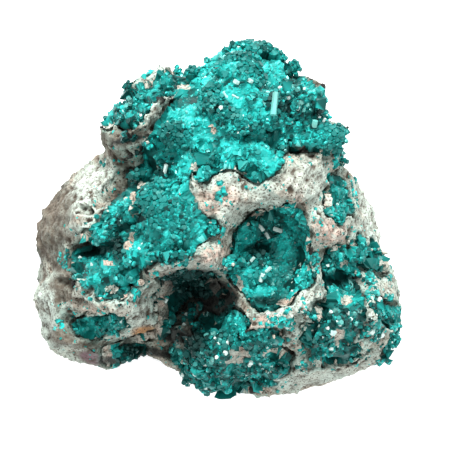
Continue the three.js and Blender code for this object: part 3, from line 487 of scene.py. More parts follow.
def move_corners(piece, places):
    piece.data.vertices.foreach_set("co", places.astype(np.float32).ravel())
    piece.data.update()


def weigh(piece, name, weights):
    """A vertex group with one weight for each corner, in steps of a hundredth."""
    group = piece.vertex_groups.new(name=name)
    steps = np.round(weights * 100).astype(int)
    for step in np.unique(steps[steps > 0]):
        group.add(np.flatnonzero(steps == step).tolist(), step / 100, "REPLACE")
    return group.name


def set_attribute(piece, name, values):
    """Gives each corner a value that the materials read."""
    layer = piece.data.attributes.new(name, "FLOAT", "POINT")
    layer.data.foreach_set("value", np.asarray(values, np.float32))


def smoothstep(values, low, high):
    """0 up to the low value, 1 from the high one, and smooth between them."""
    t = np.clip((values - low) / (high - low), 0, 1)
    return t * t * (3 - 2 * t)


def tree_of(piece):
    mesh = piece.data
    return BVHTree.FromPolygons(
        [v.co for v in mesh.vertices], [tuple(p.vertices) for p in mesh.polygons]
    )


def displace(piece, texture, strength, middle, group):
    """Moves the corners of the group along their normals by the texture."""
    apply_modifier(
        piece, "DISPLACE",
        texture=texture, texture_coords="LOCAL", strength=strength, mid_level=middle,
        vertex_group=group,
    )


def texture_of(name, kind, **settings):
    texture = bpy.data.textures.new(name, kind)
    for setting, value in settings.items():
        setattr(texture, setting, value)
    return texture


# ---- relief that rock and crusts share ----
def in_patches(places, patches):
    """1 inside the patches, fading to 0 at their edges."""
    most = np.zeros(len(places))
    for x, y, long, short, turn in patches:
        turn = math.radians(turn)
        dx, dy = places[:, 0] / MM - x, places[:, 1] / MM - y
        along = (dx * math.cos(turn) + dy * math.sin(turn)) / long
        across = (dy * math.cos(turn) - dx * math.sin(turn)) / short
        most = np.maximum(most, 1 - smoothstep(np.hypot(along, across), *PATCH_EDGE))
    return most


def slow_noise(places, size, shift=0.0):
    """Slow changes over space, from -1 to 1. Noises with another shift go their own ways."""
    moved = places / size + shift
    return np.array([noise.noise(Vector(place)) for place in moved])


def crevice_depth(places):
    """Depth of the crevices at each place, as soft grooves seen from above."""
    depth = np.zeros(len(places))
    plan = places[:, :2] / MM
    for x, y, end_x, end_y, half_width, deep in CREVICES:
        start, run = np.array((x, y)), np.array((end_x - x, end_y - y))
        share = np.clip((plan - start) @ run / (run @ run), 0, 1)
        off = np.linalg.norm(plan - start - share[:, None] * run, axis=1)
        depth = np.maximum(depth, deep * np.exp(-((off / (CREVICE_WIDER * half_width)) ** 2)))
    return depth * MM


def heave(piece):
    """Moves a piece with the lumps and crevices that rock and crusts have in common."""
    places = corners_of(piece)
    x, y, z = places.T
    ways = np.column_stack([x, y, HEAVE_UPWARDS * (z + HEAVE_CENTRE)])
    ways /= np.linalg.norm(ways, axis=1, keepdims=True)
    rise = -CREVICE_DEEPER * crevice_depth(places)
    for size, height, shift in HEAVES:
        rise += height * slow_noise(places, size, shift)
    for middle_x, middle_y, radius, height in HUMPS:
        off = np.linalg.norm(places[:, :2] / MM - (middle_x, middle_y), axis=1)
        rise += height * MM * np.exp(-((off / radius) ** 2))
    rise *= smoothstep(z, FLAT_BELOW, RELIEF_FROM)
    move_corners(piece, places + ways * rise[:, None])


def sky_ways():
    """Directions spread over the upper half of the sky."""
    ways = []
    for i, height in enumerate(np.linspace(*SKY_HEIGHTS, SKY_WAYS)):
        out = math.sqrt(1 - height * height)
        ways.append(Vector((math.cos(SKY_TURN * i) * out, math.sin(SKY_TURN * i) * out, height)))
    return ways


def openness(places, normals, tree, off):
    """Share of the sky that a place sees from this far off the surface."""
    ways = sky_ways()
    starts = places + normals * off
    return np.array([
        sum(tree.ray_cast(Vector(start), way, SKY_REACH)[0] is None for way in ways) / len(ways)
        for start in starts
    ])


# ---- the rock ----
def matrix_rock():
    """The rock, and for each of its corners how far it is from a druse: 0 under one."""
    rock = copy_of(ROCK_NODE, "matrix")
    apply_modifier(rock, "REMESH", mode="VOXEL", voxel_size=ROCK_VOXEL)
    above = smoothstep(corners_of(rock)[:, 2], FLAT_BELOW, RELIEF_FROM)
    group = weigh(rock, "above the base", above)
    apply_modifier(rock, "SMOOTH", factor=0.5, iterations=ROCK_SMOOTHING, vertex_group=group)
    off_druses = distance_to_druses(corners_of(rock), normals_of(rock))
    heave(rock)
    coarse, ways = corners_of(rock), normals_of(rock)
    for name, height, level in ROCK_RELIEF:
        displace(rock, textures[name], height, level, group)
    porous = HOLES_EVERYWHERE + HOLES_IN_CLUSTERS * slow_noise(coarse, HOLE_CLUSTER, shift=9)
    porous += HOLES_BY_DRUSES * np.exp(-off_druses / HOLES_REACH)
    porous += in_patches(coarse, PITTED_PLACES)
    porous = weigh(rock, "porous", above * np.clip(porous, 0, 1))
    displace(rock, textures["holes"], HOLE_DEPTH, 1.0, porous)
    rock.vertex_groups.clear()
    keep_in_box(rock)
    relief = np.einsum("ij,ij->i", corners_of(rock) - coarse, ways)
    places = corners_of(rock)
    set_attribute(rock, "relief", 0.5 + (relief - np.median(relief)) / ROCK_RELIEF_SPAN)
    set_attribute(rock, "green", np.exp(-off_druses / GREEN_REACH))
    # the rock's stains, and the painted shade of the dark patches
    stains_and_shade = {
        "brown": BROWN_STAINS, "rosy": ROSY_STAINS, "orange": ORANGE_STAINS,
        "pale": PALE_PLACES, "violet": VIOLET_STAINS, "shade": DARK_PATCHES,
    }
    for name, patches in stains_and_shade.items():
        set_attribute(rock, name, in_patches(places, patches))
    sky = openness(places, normals_of(rock), tree_of(rock), off=0.25 * MM)
    # painted light: pale places count as more open, so they take less painted shade
    set_attribute(rock, "sky", sky + PALE_LIFT * in_patches(places, PALE_PLACES))
    pick(rock)
    bpy.ops.object.shade_smooth()
    rock.data.materials.append(rock_surface)
    return rock, off_druses


def distance_to_druses(places, normals):
    """How far each place of the rock is from a druse, and 0 under one."""
    trees = [tree_of(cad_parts[node]) for node in DRUSE_NODES]
    distances = []
    for place, normal in zip(places, normals):
        place, normal = Vector(place), Vector(normal)
        if any(tree.ray_cast(place, normal, DRUSE_OVER)[0] for tree in trees):
            distances.append(0.0)
        else:
            found = [tree.find_nearest(place, DRUSE_FAR)[3] for tree in trees]
            distances.append(min((d for d in found if d is not None), default=DRUSE_FAR))
    return np.array(distances)


def make_textures():
    """The textures of the fine relief. In the ramp of the holes 0 is the middle of a hole."""
    holes = texture_of("holes", "VORONOI", noise_scale=2.2 * MM, use_color_ramp=True)
    for end, (place, level) in zip(holes.color_ramp.elements, [(0.06, 0), (0.30, 1)]):
        end.position = place
        end.color = (level, level, level, 1)
    return {
        "holes": holes,
        "buds": texture_of("buds", "VORONOI", noise_scale=1.4 * MM, distance_metric="DISTANCE"),
        "knobs": texture_of("knobs", "VORONOI", noise_scale=1.7 * MM, distance_metric="DISTANCE"),
        "grains": texture_of("grains", "CLOUDS", noise_scale=0.55 * MM, noise_depth=2),
        "pits": texture_of("pits", "CLOUDS", noise_scale=0.7 * MM, noise_type="HARD_NOISE"),
        "lobes": texture_of("lobes", "VORONOI", noise_scale=3.2 * MM, distance_metric="DISTANCE"),
        "sugar": texture_of("sugar", "VORONOI", noise_scale=0.6 * MM),
    }


# ---- crystals ----
def form_of(piece):
    """Corners and faces of a form, which is then taken away."""
    faces = [tuple(p.vertices) for p in piece.data.polygons]
    places = corners_of(piece)
    bpy.data.objects.remove(piece)
    return places, faces


def prism_form():
    """A dioptase crystal 1 wide: a six-sided prism that ends in three rhombs."""
    slope = math.tan(RHOMB_SLOPE)
    bpy.ops.object.select_all(action="DESELECT")
    bpy.ops.mesh.primitive_cylinder_add(vertices=6, radius=0.5, depth=1, location=(0, 0, 0.5))
    form = bpy.context.active_object
    bpy.ops.object.mode_set(mode="EDIT")
    bpy.ops.mesh.select_all(action="DESELECT")
    bpy.ops.mesh.select_mode(type="FACE")
    bpy.ops.object.mode_set(mode="OBJECT")
    for face in form.data.polygons:
        face.select = face.normal.z > 0.5
    bpy.ops.object.mode_set(mode="EDIT")
    bpy.ops.mesh.poke()
    bpy.ops.mesh.select_mode(type="VERT")
    bpy.ops.object.mode_set(mode="OBJECT")
    shoulders = [v for v in form.data.vertices if v.co.z > 0.5 and v.co.xy.length > 0.1]
    shoulders.sort(key=lambda v: math.atan2(v.co.y, v.co.x))
    for i, corner in enumerate(shoulders):
        corner.co.z -= slope * 0.5 / (1 + i % 2)
    return form_of(form)


def rhomb_form():
    """A grain 1 wide: a rhombohedron on its tip, with its upper tip at height 1."""
    bpy.ops.object.select_all(action="DESELECT")
    bpy.ops.mesh.primitive_cube_add(size=1)
    form = bpy.context.active_object
    tall = Vector((1, 1, 1)).normalized().rotation_difference(Vector((0, 0, 1)))
    places = np.array([tall @ v.co for v in form.data.vertices])
    places[:, :2] *= 0.5 / np.hypot(places[:, 0], places[:, 1]).max()
    places[:, 2] *= GRAIN_TALL / places[:, 2].max()
    places[:, 2] += 1 - places[:, 2].max()
    move_corners(form, places)
    return form_of(form)


def spread(places, room, taken, spacing):
    """Picks places in turn that keep the spacing from each other and from what is taken. Only
    places with room are picked."""
    cell = spacing.max()
    grid = {}
    chosen = []

    def near(place):
        i, j, k = (int(math.floor(c / cell)) for c in place)
        for a in (i - 1, i, i + 1):
            for b in (j - 1, j, j + 1):
                for c in (k - 1, k, k + 1):
                    yield from grid.get((a, b, c), ())

    def put(place, keep):
        key = tuple(int(math.floor(c / cell)) for c in place)
        grid.setdefault(key, []).append((place, keep))

    for place, keep in taken:
        put(place, keep)
    for n, place in enumerate(places):
        keep = spacing[n]
        x, y, z = place
        clear = True
        for (ox, oy, oz), other in near(place):
            gap = 0.5 * (keep + other)
            if (x - ox) ** 2 + (y - oy) ** 2 + (z - oz) ** 2 < gap * gap:
                clear = False
                break
        if clear and room[n]:
            put(place, keep)
            chosen.append(n)
    return chosen


def sample(piece, density, wanted, random, values):
    """Places spread evenly over the faces whose corners are all wanted, with their normals and
    the values that the corners have there."""
    mesh = piece.data
    mesh.calc_loop_triangles()
    triangles = np.empty(len(mesh.loop_triangles) * 3, np.int32)
    mesh.loop_triangles.foreach_get("vertices", triangles)
    triangles = triangles.reshape(-1, 3)
    triangles = triangles[wanted[triangles].all(axis=1)]
    corners = corners_of(piece)[triangles]
    cross = np.cross(corners[:, 1] - corners[:, 0], corners[:, 2] - corners[:, 0])
    area = np.linalg.norm(cross, axis=1) / 2
    count = int(density * area.sum())
    picked = random.choice(len(area), count, p=area / area.sum())
    u, v = random.random((2, count))
    over = u + v > 1
    u[over], v[over] = 1 - u[over], 1 - v[over]
    a, b, c = corners[picked].transpose(1, 0, 2)
    places = a + u[:, None] * (b - a) + v[:, None] * (c - a)
    normals = cross[picked] / (2 * area[picked][:, None])
    at = triangles[picked]
    values = (1 - u - v) * values[at[:, 0]] + u * values[at[:, 1]] + v * values[at[:, 2]]
    return places, normals, values


def mesh_of_many(name, corners, faces, material):
    """A piece made of many copies of a form: the corners of each copy, and one copy's faces."""
    count, step = corners.shape[:2]
    mesh = bpy.data.meshes.new(name)
    mesh.from_pydata(
        corners.reshape(-1, 3).tolist(), [],
        [tuple(c + n * step for c in face) for n in range(count) for face in faces],
    )
    piece = bpy.data.objects.new(name, mesh)
    bpy.context.scene.collection.objects.link(piece)
    piece.data.materials.append(material)
    return piece


def crystals(name, form, places, axes, widths, lengths, tints, milk, random, sunk=SUNK):
    """One mesh of crystals: each stands at its place along its axis, turned at random, with its
    foot sunk by a share of its width."""
    form, faces = forms[form]
    count = len(places)
    axes = axes / np.linalg.norm(axes, axis=1, keepdims=True)
    helper = np.where(np.abs(axes[:, 2:]) < 0.8, [[0, 0, 1.0]], [[1.0, 0, 0]])
    side = np.cross(axes, helper)
    side /= np.linalg.norm(side, axis=1, keepdims=True)
    other = np.cross(axes, side)
    turn = random.random(count)[:, None] * 2 * math.pi
    across = np.cos(turn) * side + np.sin(turn) * other
    along = np.cross(axes, across)
    top = form[:, 2] > 0.01
    lift = np.where(top, form[:, 2] - 1, 0)
    reach = lengths[:, None] * top[None] + widths[:, None] * (lift[None] - sunk * ~top[None])
    corners = (
        places[:, None]
        + widths[:, None, None] * form[None, :, 0:1] * across[:, None]
        + widths[:, None, None] * form[None, :, 1:2] * along[:, None]
        + reach[..., None] * axes[:, None]
    )
    piece = mesh_of_many(name, corners, faces, green_glass)
    set_attribute(piece, "tint", np.repeat(tints, len(form)))
    set_attribute(piece, "milk", np.repeat(milk, len(form)))
    set_attribute(piece, "rise", np.tile(np.where(top, 1 + 0.5 * lift, 0), count))
    return piece


def near_to(places, targets):
    """Distance from each place to the nearest target."""
    tree = KDTree(len(targets))
    for n, place in enumerate(targets):
        tree.insert(place, n)
    tree.balance()
    return np.array([tree.find(place)[2] for place in places])


def shaded_tints_of(places, normals, lows, random):
    """Colour of each crystal from 0, deep green, to 1, bright turquoise, with painted shade laid in:
    darker where the sky is hidden, in the dark patches, and between the lobes of a crust."""
    tints = TINT + random.normal(0, TINT_SPREAD, len(places))
    tints += sum(TINT_DRIFT * slow_noise(places, size, shift) for size, shift in TINT_NOISES)
    tints += BRIGHTER * in_patches(places, BRIGHT_PATCHES)
    sparkling = in_patches(places, SPARKLING_PATCHES)
    tints += SPARKLE * random.normal(SPARKLE_MIDDLE, 1, len(places)) * sparkling
    tints[random.random(len(places)) < DARK_SHARE + SPARKLE * sparkling] *= DARK_TINT
    tints *= 1 - DARKER * in_patches(places, DARK_PATCHES)
    tints *= LOW_TINT + (1 - LOW_TINT) * smoothstep(lows, *LOBES_LOW)
    sky = openness(places, normals, matrix_tree, off=0.5 * MM)
    return np.clip(tints * (HIDDEN_TINT + sky), 0.0, 1.0)


def milk_of(places, random):
    """How milky each crystal is: most are clear, a few are nearly white."""
    milk = MILK_DRIFT * slow_noise(places, MILK_SIZE, shift=11)
    milk += random.normal(0, MILK_SPREAD, len(places)) + MILK_MIDDLE
    share = WHITE_AND_GLINT_SHARE * (1 + MILKY_SPARKLE * in_patches(places, SPARKLING_PATCHES))
    milky = random.random(len(places)) < share
    # no milky white in the painted shade of the dark patches
    return np.clip(np.where(milky, MILK, milk), 0, 1) * (1 - in_patches(places, DARK_PATCHES))


def inside_box(places, room):
    """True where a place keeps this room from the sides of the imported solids' box."""
    low, high = np.array(cad_box[0]), np.array(cad_box[1])
    room = room[:, None]
    return ((places > low + room) & (places < high - room)).all(axis=1)


def keep_in_box(piece):
    """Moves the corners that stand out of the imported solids' box back to its sides."""
    move_corners(piece, np.clip(corners_of(piece), cad_box[0], cad_box[1]))


def grow(name, places, normals, lows, random):
    """Crystals of every size over the places, the biggest first, as one list of meshes."""
    taken = []
    grown = []
    left = np.ones(len(places), bool)
    for form, size in CRYSTAL_SIZES:
        widths = random.uniform(*size["width"], len(places))
        chosen = spread(places, left, taken, widths * size["spacing"])
        left[chosen] = False
        taken += [(tuple(places[n]), CROWDING * widths[n]) for n in chosen]
        at, ways, widths = places[chosen], normals[chosen], widths[chosen]
        lengths = widths * random.uniform(*size["length"], len(chosen))
        lean = random.normal(0, LEAN, (len(chosen), 3))
        lean -= ways * np.minimum(np.einsum("ij,ij->i", lean, ways), 0)[:, None]
        axes = (ways + lean) / np.linalg.norm(ways + lean, axis=1, keepdims=True)
        tints, milk = shaded_tints_of(at, ways, lows[chosen], random), milk_of(at, random)
        milk = np.where(widths > MILKY_BELOW, WIDE_MILK * milk, milk)
        tips = at + axes * lengths[:, None]
        low = np.array([rock_tree.find_nearest(Vector(tip))[3] < TIP_REACH for tip in tips])
        kept = low & inside_box(tips, TIP_ROOM * widths)
        at, axes, widths, lengths, tints, milk = (
            values[kept] for values in (at, axes, widths, lengths, tints, milk)
        )
        grown.append(crystals(name, form, at, axes, widths, lengths, tints, milk, random))
    return grown


def thin_places(piece, places, normals):
    """True at the corners of spikes and sheets that stand free of the rock."""
    tree = tree_of(piece)
    thin = []
    for place, normal in zip(places, normals):
        place, normal = Vector(place), Vector(normal)
        far_side = tree.ray_cast(place - normal * 0.02 * MM, -normal, THIN_BELOW)[0]
        free = far_side is not None and rock_tree.find_nearest(far_side)[3] > THIN_OFF_ROCK
        thin.append(free)
    return np.array(thin)


def druse(node, seed):
    """A druse: its crust, swollen onto its bed, and the crystals that stand on it."""
    random = np.random.default_rng(seed)
    crust = copy_of(node, node.replace("_druse", "_crystals"))
    apply_modifier(crust, "REMESH", mode="VOXEL", voxel_size=CRUST_VOXEL)
    apply_modifier(crust, "SMOOTH", factor=0.5, iterations=CRUST_SMOOTHING)
    for _ in range(THIN_ROUNDS):
        thin = thin_places(crust, corners_of(crust), normals_of(crust))
        group = weigh(crust, "thin", 1.0 * thin)
        apply_modifier(crust, "SMOOTH", factor=0.5, iterations=THIN_SMOOTHING, vertex_group=group)
        crust.vertex_groups.clear()
    places, normals = corners_of(crust), normals_of(crust)
    outer = np.array([
        rock_tree.ray_cast(Vector(p + n * 0.05 * MM), Vector(n), BED_REACH)[0] is None
        for p, n in zip(places, normals)
    ])
    border = near_to(places, bare_rock)
    apply_modifier(crust, "SMOOTH", factor=0.5, iterations=CRUST_ROUNDING)
    rounded = corners_of(crust)
    stand = places - rounded
    most = np.minimum(1, CRUST_STAND / (np.linalg.norm(stand, axis=1) + 1e-9))
    inner = smoothstep(border, *CRUST_HELD)
    places -= stand * ((1 - most) * inner)[:, None]
    swell = np.where(outer, -CRUST_SINK, CRUST_SWELL)
    move_corners(crust, places + normals * swell[:, None])
    heave(crust)
    level, ways = corners_of(crust), normals_of(crust)
    inside = weigh(crust, "inside", outer * smoothstep(border, *CRUST_RELIEF_FROM))
    for name, height, middle in CRUST_RELIEF:
        displace(crust, textures[name], height, middle, inside)
    crust.vertex_groups.clear()
    relief = np.einsum("ij,ij->i", corners_of(crust) - level, ways)
    corners = corners_of(crust)
    ragged = 0.5 + 0.5 * slow_noise(corners, RAGGED_SIZE, shift=3)
    bare = in_patches(corners, BARE_PATCHES) + 0.5 * ragged > BARE_ABOVE
    at_border, further_in = RAGGED
    bare |= ragged > at_border + further_in * border / RAGGED_REACH
    firm = ~thin_places(crust, corners, normals_of(crust))
    places, normals, lows = sample(crust, CRYSTAL_SEEDS, outer & ~bare & firm, random, relief)
    grown = grow(node, places, normals, lows, random)
    bedded, outside = CRUST_TINT
    tints = shaded_tints_of(corners, normals_of(crust), relief, random)
    set_attribute(crust, "tint", (bedded + outside * outer) * tints)
    set_attribute(crust, "rise", np.full(len(corners), CRUST_RISE))
    set_attribute(crust, "milk", np.zeros(len(corners)))
    set_attribute(crust, "relief", 0.6 + 0.5 * slow_noise(corners, 0.5 * MM))
    set_attribute(crust, "shade", in_patches(corners, DARK_PATCHES))
    set_attribute(crust, "rosy", 0.3 + slow_noise(corners, 2.4 * MM, shift=17))
    set_attribute(crust, "sky", np.full(len(corners), CRUST_OPENNESS))
    rock_faces = np.array([all(bare[c] for c in face.vertices) for face in crust.data.polygons])
    crust.data.materials.append(green_glass)
    crust.data.materials.append(rock_surface)
    crust.data.polygons.foreach_set("material_index", rock_faces.astype(np.int32))
    pick(*grown, crust)
    bpy.ops.object.join()
    keep_in_box(crust)
    return crust


def strays():
    """Single small crystals on the bare rock near the druses."""
    random = np.random.default_rng(61)
    facing = bare_corners & (up_corners > 0)
    places, normals, near = sample(matrix, STRAY_SEEDS, facing, random, off_druses)
    mixed = in_patches(places, MIXED_PATCHES)
    covered = in_patches(places, COVERED_PATCHES)
    clumps = smoothstep(slow_noise(places, STRAY_CLUMP, shift=31), *STRAY_CLUMP_EDGE)
    chance = (np.exp(-near / STRAY_REACH) + MIXED_SHARE * mixed) * clumps
    chance += COVERED_SHARE * covered
    kept = random.random(len(places)) < chance
    places, normals = places[kept], normals[kept]
    narrowest, wider = STRAY_WIDTHS
    widths = narrowest + wider * random.random(len(places)) ** 2
    widths += STRAY_WIDER * covered[kept]
    lengths = widths * random.uniform(*STRAY_LENGTHS, len(places))
    lean = random.normal(0, LEAN, (len(places), 3))
    lows = np.zeros(len(places))
    tints, milk = shaded_tints_of(places, normals, lows, random), milk_of(places, random)
    tints *= random.uniform(*STRAY_TINTS, len(places))
    return crystals(
        "stray_crystals", "prism", places, normals + lean, widths, lengths, tints, milk, random
    )


def lone_crystals():
    """The crystals that stand out among the others, each laid on what is under it."""
    random = np.random.default_rng(63)
    trees = [matrix_tree] + [tree_of(piece) for piece in druses]
    feet, ways = [], []
    for (x, y), (end_x, end_y), width, _ in LONE_CRYSTALS:
        start = Vector((x * MM, y * MM, 0.05))
        found = [tree.ray_cast(start, Vector((0, 0, -1)))[0] for tree in trees]
        foot = max((place for place in found if place), key=lambda place: place.z)
        feet.append(foot + Vector((0, 0, LONE_LIFT * width * MM)))
        run = Vector((end_x - x, end_y - y, 0)) * MM
        ways.append(run + Vector((0, 0, LONE_SLOPE * run.length)))
    ways = np.array(ways)
    widths = np.array([width for _, _, width, _ in LONE_CRYSTALS]) * MM
    milk = np.array([milk for _, _, _, milk in LONE_CRYSTALS])
    lengths = np.linalg.norm(ways, axis=1)
    tints = np.full(len(ways), LONE_TINT)
    return crystals(
        "lone_crystals", "prism", np.array(feet), ways, widths, lengths, tints, milk, random,
        LONE_SUNK,
    )


def crumbs():
    """Crumbs of rock caught among the crystals near the edges of the druses."""
    random = np.random.default_rng(62)
    bpy.ops.object.select_all(action="DESELECT")
    bpy.ops.mesh.primitive_ico_sphere_add(subdivisions=2, radius=0.5)
    form, faces = form_of(bpy.context.active_object)
    places, normals = [], []
    for piece in druses:
        every = np.ones(len(piece.data.vertices))
        at, ways, _ = sample(piece, CRUMB_SEEDS, every > 0, random, every)
        places.append(at)
        normals.append(ways)
    places, normals = np.concatenate(places), np.concatenate(normals)
    near = near_to(places, bare_rock)
    clumps = smoothstep(slow_noise(places, CRUMB_CLUMP, shift=41), *CRUMB_CLUMP_EDGE)
    chance = CRUMB_CHANCE * np.exp(-near / CRUMB_REACH)
    seen = clear_of_rock(places, normals) & (normals[:, 2] > 0.1)
    kept = seen & (random.random(len(places)) < chance * clumps)
    places = places[kept]
    count = len(places)
    widths = random.uniform(*CRUMB_WIDTHS, count)
    turns = np.linalg.qr(random.normal(0, 1, (count, 3, 3)))[0]
    turns *= np.sign(np.linalg.det(turns))[:, None, None]
    uneven = 1 + CRUMB_STRETCH * random.normal(0, 1, (count, 3, 1)).clip(-1, 1)
    rough = 1 + CRUMB_ROUGHNESS * random.normal(0, 1, (count, len(form), 1)).clip(-1.5, 1.5)
    grains = np.einsum("nij,nkj->nki", turns * uneven, form[None] * rough)
    corners = places[:, None] + widths[:, None, None] * grains
    piece = mesh_of_many("rock_crumbs", corners, faces, rock_surface)
    step = len(form)
    set_attribute(piece, "relief", np.repeat(random.uniform(*CRUMB_RELIEF, count), step))
    set_attribute(piece, "sky", np.full(count * step, CRUST_OPENNESS))
    set_attribute(piece, "rosy", np.repeat(random.uniform(*CRUMB_ROSY, count), step))
    return piece


def clear_of_rock(places, normals):
    """True where a place isn't buried in the rock."""
    return np.array([
        matrix_tree.ray_cast(Vector(p + n * 0.2 * MM), Vector(n), 3 * MM)[0] is None
        for p, n in zip(places, normals)
    ])


# ---- materials ----
def new_material(name):
    material = bpy.data.materials.new(name)
    material.use_nodes = True
    nodes = material.node_tree.nodes
    nodes.clear()
    surface = nodes.new("ShaderNodeOutputMaterial")
    shader = nodes.new("ShaderNodeBsdfPrincipled")
    material.node_tree.links.new(shader.outputs["BSDF"], surface.inputs["Surface"])
    return material, shader


def add_node(material, kind, settings=None, **inputs):
    """A node with its settings, and each input either set or linked. An input is given by its
    name, or as i and its number."""
    tree = material.node_tree
    node = tree.nodes.new(kind)
    for setting, value in (settings or {}).items():
        setattr(node, setting, value)
    for key, value in inputs.items():
        numbered = key[0] == "i" and key[1:].isdigit()
        socket = node.inputs[int(key[1:]) if numbered else key]
        if isinstance(value, bpy.types.NodeSocket):
            tree.links.new(value, socket)
        else:
            socket.default_value = value
    return node


def noise_node(material, place, scale, detail, roughness):
    """Noise from 0 to 1 over the place. The scale is per metre."""
    return add_node(
        material, "ShaderNodeTexNoise",
        Vector=place, Scale=scale, Detail=detail, Roughness=roughness,
    ).outputs["Fac"]


def ramp(material, factor, stops):
    """Colours by a factor: each stop is its place and its colour."""
    node = add_node(material, "ShaderNodeValToRGB", i0=factor)
    ends = node.color_ramp.elements
    while len(ends) < len(stops):
        ends.new(0.5)
    for end, (place, colour) in zip(ends, stops):
        end.position = place
        end.color = (*colour, 1)
    return node.outputs["Color"]


def attribute(material, name):
    return add_node(material, "ShaderNodeAttribute", {"attribute_name": name}).outputs["Fac"]


def mixed(material, share, low, high, way="MIX"):
    settings = {"data_type": "RGBA", "blend_type": way}
    node = add_node(material, "ShaderNodeMix", settings, i0=share, i6=low, i7=high)
    return node.outputs[2]


def product(material, one, other):
    node = add_node(material, "ShaderNodeMath", {"operation": "MULTIPLY"}, i0=one, i1=other)
    return node.outputs[0]


def stained_or_shaded(material, colour, mark_attribute, share, mark_colour):
    """The colour with a patch laid on it where the patch's attribute is above 0: a stain, a paler
    place, the green tinge, or painted shade.
    """
    share = product(material, attribute(material, mark_attribute), share)
    return mixed(material, share, colour, mark_colour)


def rock_material():
    material, shader = new_material("porous carbonate")
    links = material.node_tree.links
    place = add_node(material, "ShaderNodeTexCoord").outputs["Object"]
    broad = noise_node(material, place, BLOTCHES, 8, 0.68)
    fine = noise_node(material, place, FINE_BLOTCHES, 5, 0.6)
    colour = ramp(material, broad, ROCK_BODY)

    # stains
    colour = stained_or_shaded(material, colour, "pale", 0.7, PALE_ROCK)
    rosy = ramp(material, fine, [(0.36, (0.1, 0.1, 0.1)), (0.58, (1, 1, 1))])
    colour = stained_or_shaded(material, colour, "rosy", rosy, ROSY_ROCK)
    rusty = ramp(material, fine, [(0.35, (1, 1, 1)), (0.62, (0.72, 0.72, 0.72))])
    colour = stained_or_shaded(material, colour, "brown", rusty, BROWN_ROCK)
    colour = stained_or_shaded(material, colour, "orange", 1.0, ORANGE_ROCK)
    colour = stained_or_shaded(material, colour, "violet", rusty, VIOLET_ROCK)
    colour = stained_or_shaded(material, colour, "green", 0.45, GREEN_ROCK)

    # painted shade in the pits, and the pores and dark grains
    level = add_node(
        material, "ShaderNodeMath", {"operation": "MULTIPLY_ADD"},
        i0=fine, i1=0.9, i2=attribute(material, "relief"),
    ).outputs[0]
    sunk = ramp(material, level, [
        (0.50, (0.0, 0.0, 0.0)), (0.78, (0.6, 0.6, 0.6)), (1.0, (1, 1, 1)),
    ])
    colour = mixed(material, sunk, PIT_SHADE_BROWN, colour)
    cell = add_node(
        material, "ShaderNodeTexVoronoi", Vector=place, Scale=PORES, Randomness=1.0,
    ).outputs["Distance"]
    pore = ramp(material, cell, [(0.16, (0, 0, 0)), (0.30, (1, 1, 1))])
    many = ramp(material, broad, [(0.44, (1, 1, 1)), (0.66, (0.35, 0.35, 0.35))])
    pore = mixed(material, many, (1, 1, 1, 1), pore)
    colour = mixed(material, pore, PORE_BROWN, colour)
    grain = noise_node(material, place, DARK_GRAINS, 3, 0.6)
    speck = ramp(material, grain, [(0.36, (0.0, 0.0, 0.0)), (0.44, (1, 1, 1))])
    colour = mixed(material, speck, SPECK_BROWN, colour)

    # painted shade: the dark patches, and darker where the rock sees less of the sky
    colour = stained_or_shaded(material, colour, "shade", 0.9, DEEP_SHADE)
    lit = ramp(material, attribute(material, "sky"), ROCK_BY_SKY)
    colour = mixed(material, 1.0, colour, lit, "MULTIPLY")
    links.new(colour, shader.inputs["Base Color"])
    shader.inputs["Roughness"].default_value = 0.9
    grit = noise_node(material, place, GRIT, 3, 0.7)
    bump = add_node(material, "ShaderNodeBump", Height=grit, Strength=1.0, Distance=GRIT_HEIGHT)
    links.new(bump.outputs["Normal"], shader.inputs["Normal"])
    return material


def dioptase_material():
    """Glossy green, with painted shade that darkens it towards the foot of each crystal, and cloudy in
    milky ones.
    """
    material, shader = new_material("dioptase")
    links = material.node_tree.links
    rise = attribute(material, "rise")
    green = ramp(material, attribute(material, "tint"), DIOPTASE_GREENS)
    # painted shade: darker towards the foot of each crystal, in the gaps between crystals
    depth = ramp(material, rise, [(0.2, (0.30, 0.30, 0.30)), (0.8, (1, 1, 1))])
    colour = mixed(material, 1.0, green, depth, "MULTIPLY")
    cloudy = ramp(material, attribute(material, "milk"), DIOPTASE_MILK)
    colour = mixed(material, attribute(material, "milk"), colour, cloudy)
    links.new(colour, shader.inputs["Base Color"])
    rough = ramp(material, rise, [(0.3, (0.6, 0.6, 0.6)), (0.7, (0.18, 0.18, 0.18))])
    links.new(rough, shader.inputs["Roughness"])
    shader.inputs["IOR"].default_value = DIOPTASE_IOR
    shader.inputs["Specular Tint"].default_value = GLINT_TINT
    return material


def floor_material():
    material, shader = new_material("pale floor")
    shader.inputs["Base Color"].default_value = (0.86, 0.86, 0.86, 1)
    shader.inputs["Emission Color"].default_value = (1, 1, 1, 1)
    shader.inputs["Emission Strength"].default_value = 0.55
    shader.inputs["Roughness"].default_value = 0.9
    return material


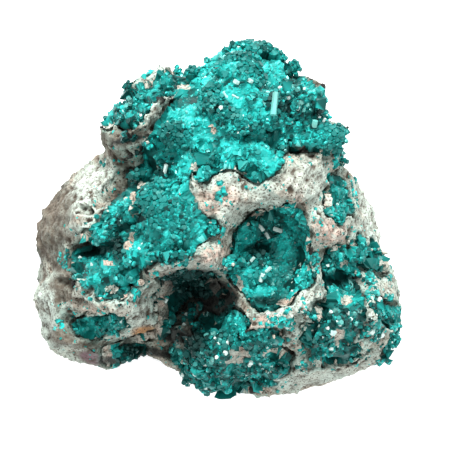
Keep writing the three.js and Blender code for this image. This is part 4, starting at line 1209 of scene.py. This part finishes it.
# ---- setting ----
def add_floor():
    bpy.ops.object.select_all(action="DESELECT")
    bpy.ops.mesh.primitive_plane_add(size=FLOOR_SIZE, location=(0, 0, -FLOOR_GAP))
    floor = bpy.context.active_object
    floor.name = "floor"
    floor.data.materials.append(floor_material())


def add_light(name, place, size, power):
    data = bpy.data.lights.new(name, "AREA")
    data.shape = "DISK"
    data.size = size
    data.energy = power
    lamp = bpy.data.objects.new(name, data)
    lamp.location = place
    aim = Vector(LIGHTS_AIM) - Vector(place)
    lamp.rotation_euler = aim.to_track_quat("-Z", "Y").to_euler()
    bpy.context.scene.collection.objects.link(lamp)


def add_lights():
    world = bpy.data.worlds.new("studio")
    world.use_nodes = True
    sky = world.node_tree.nodes["Background"]
    sky.inputs["Color"].default_value = SKY_COLOUR
    sky.inputs["Strength"].default_value = SKY_STRENGTH
    bpy.context.scene.world = world
    for light in LIGHTS:
        add_light(*light)
    bpy.context.scene.view_settings.view_transform = "Standard"


def add_camera():
    """Looks straight down on the crystals."""
    data = bpy.data.cameras.new("camera")
    data.sensor_width = SENSOR_WIDTH
    data.lens = SENSOR_WIDTH * (CAMERA_PLACE[2] - SIGHT_Z) / (PICTURE_PIXELS * PIXEL_SIZE)
    camera = bpy.data.objects.new("camera", data)
    camera.location = CAMERA_PLACE
    bpy.context.scene.collection.objects.link(camera)
    bpy.context.scene.camera = camera


# ---- the making ----
add_camera()
rock_tree = tree_of(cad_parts[ROCK_NODE])
forms = {"prism": prism_form(), "rhomb": rhomb_form()}
textures = make_textures()
rock_surface = rock_material()
green_glass = dioptase_material()

matrix, off_druses = matrix_rock()
matrix_tree = tree_of(matrix)
bare_corners = off_druses > BARE_FROM
bare_rock = corners_of(matrix)[bare_corners][::2]
up_corners = normals_of(matrix)[:, 2]
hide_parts(ROCK_NODE)
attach(matrix, "root")

druses = []
for number, node_name in enumerate(DRUSE_NODES):
    made = druse(node_name, seed=20 + number)
    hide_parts(node_name)
    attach(made, "root")
    druses.append(made)

single = strays()
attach(single, "root")
lone = lone_crystals()
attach(lone, "root")
crumb_piece = crumbs()
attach(crumb_piece, "root")

add_floor()
add_lights()
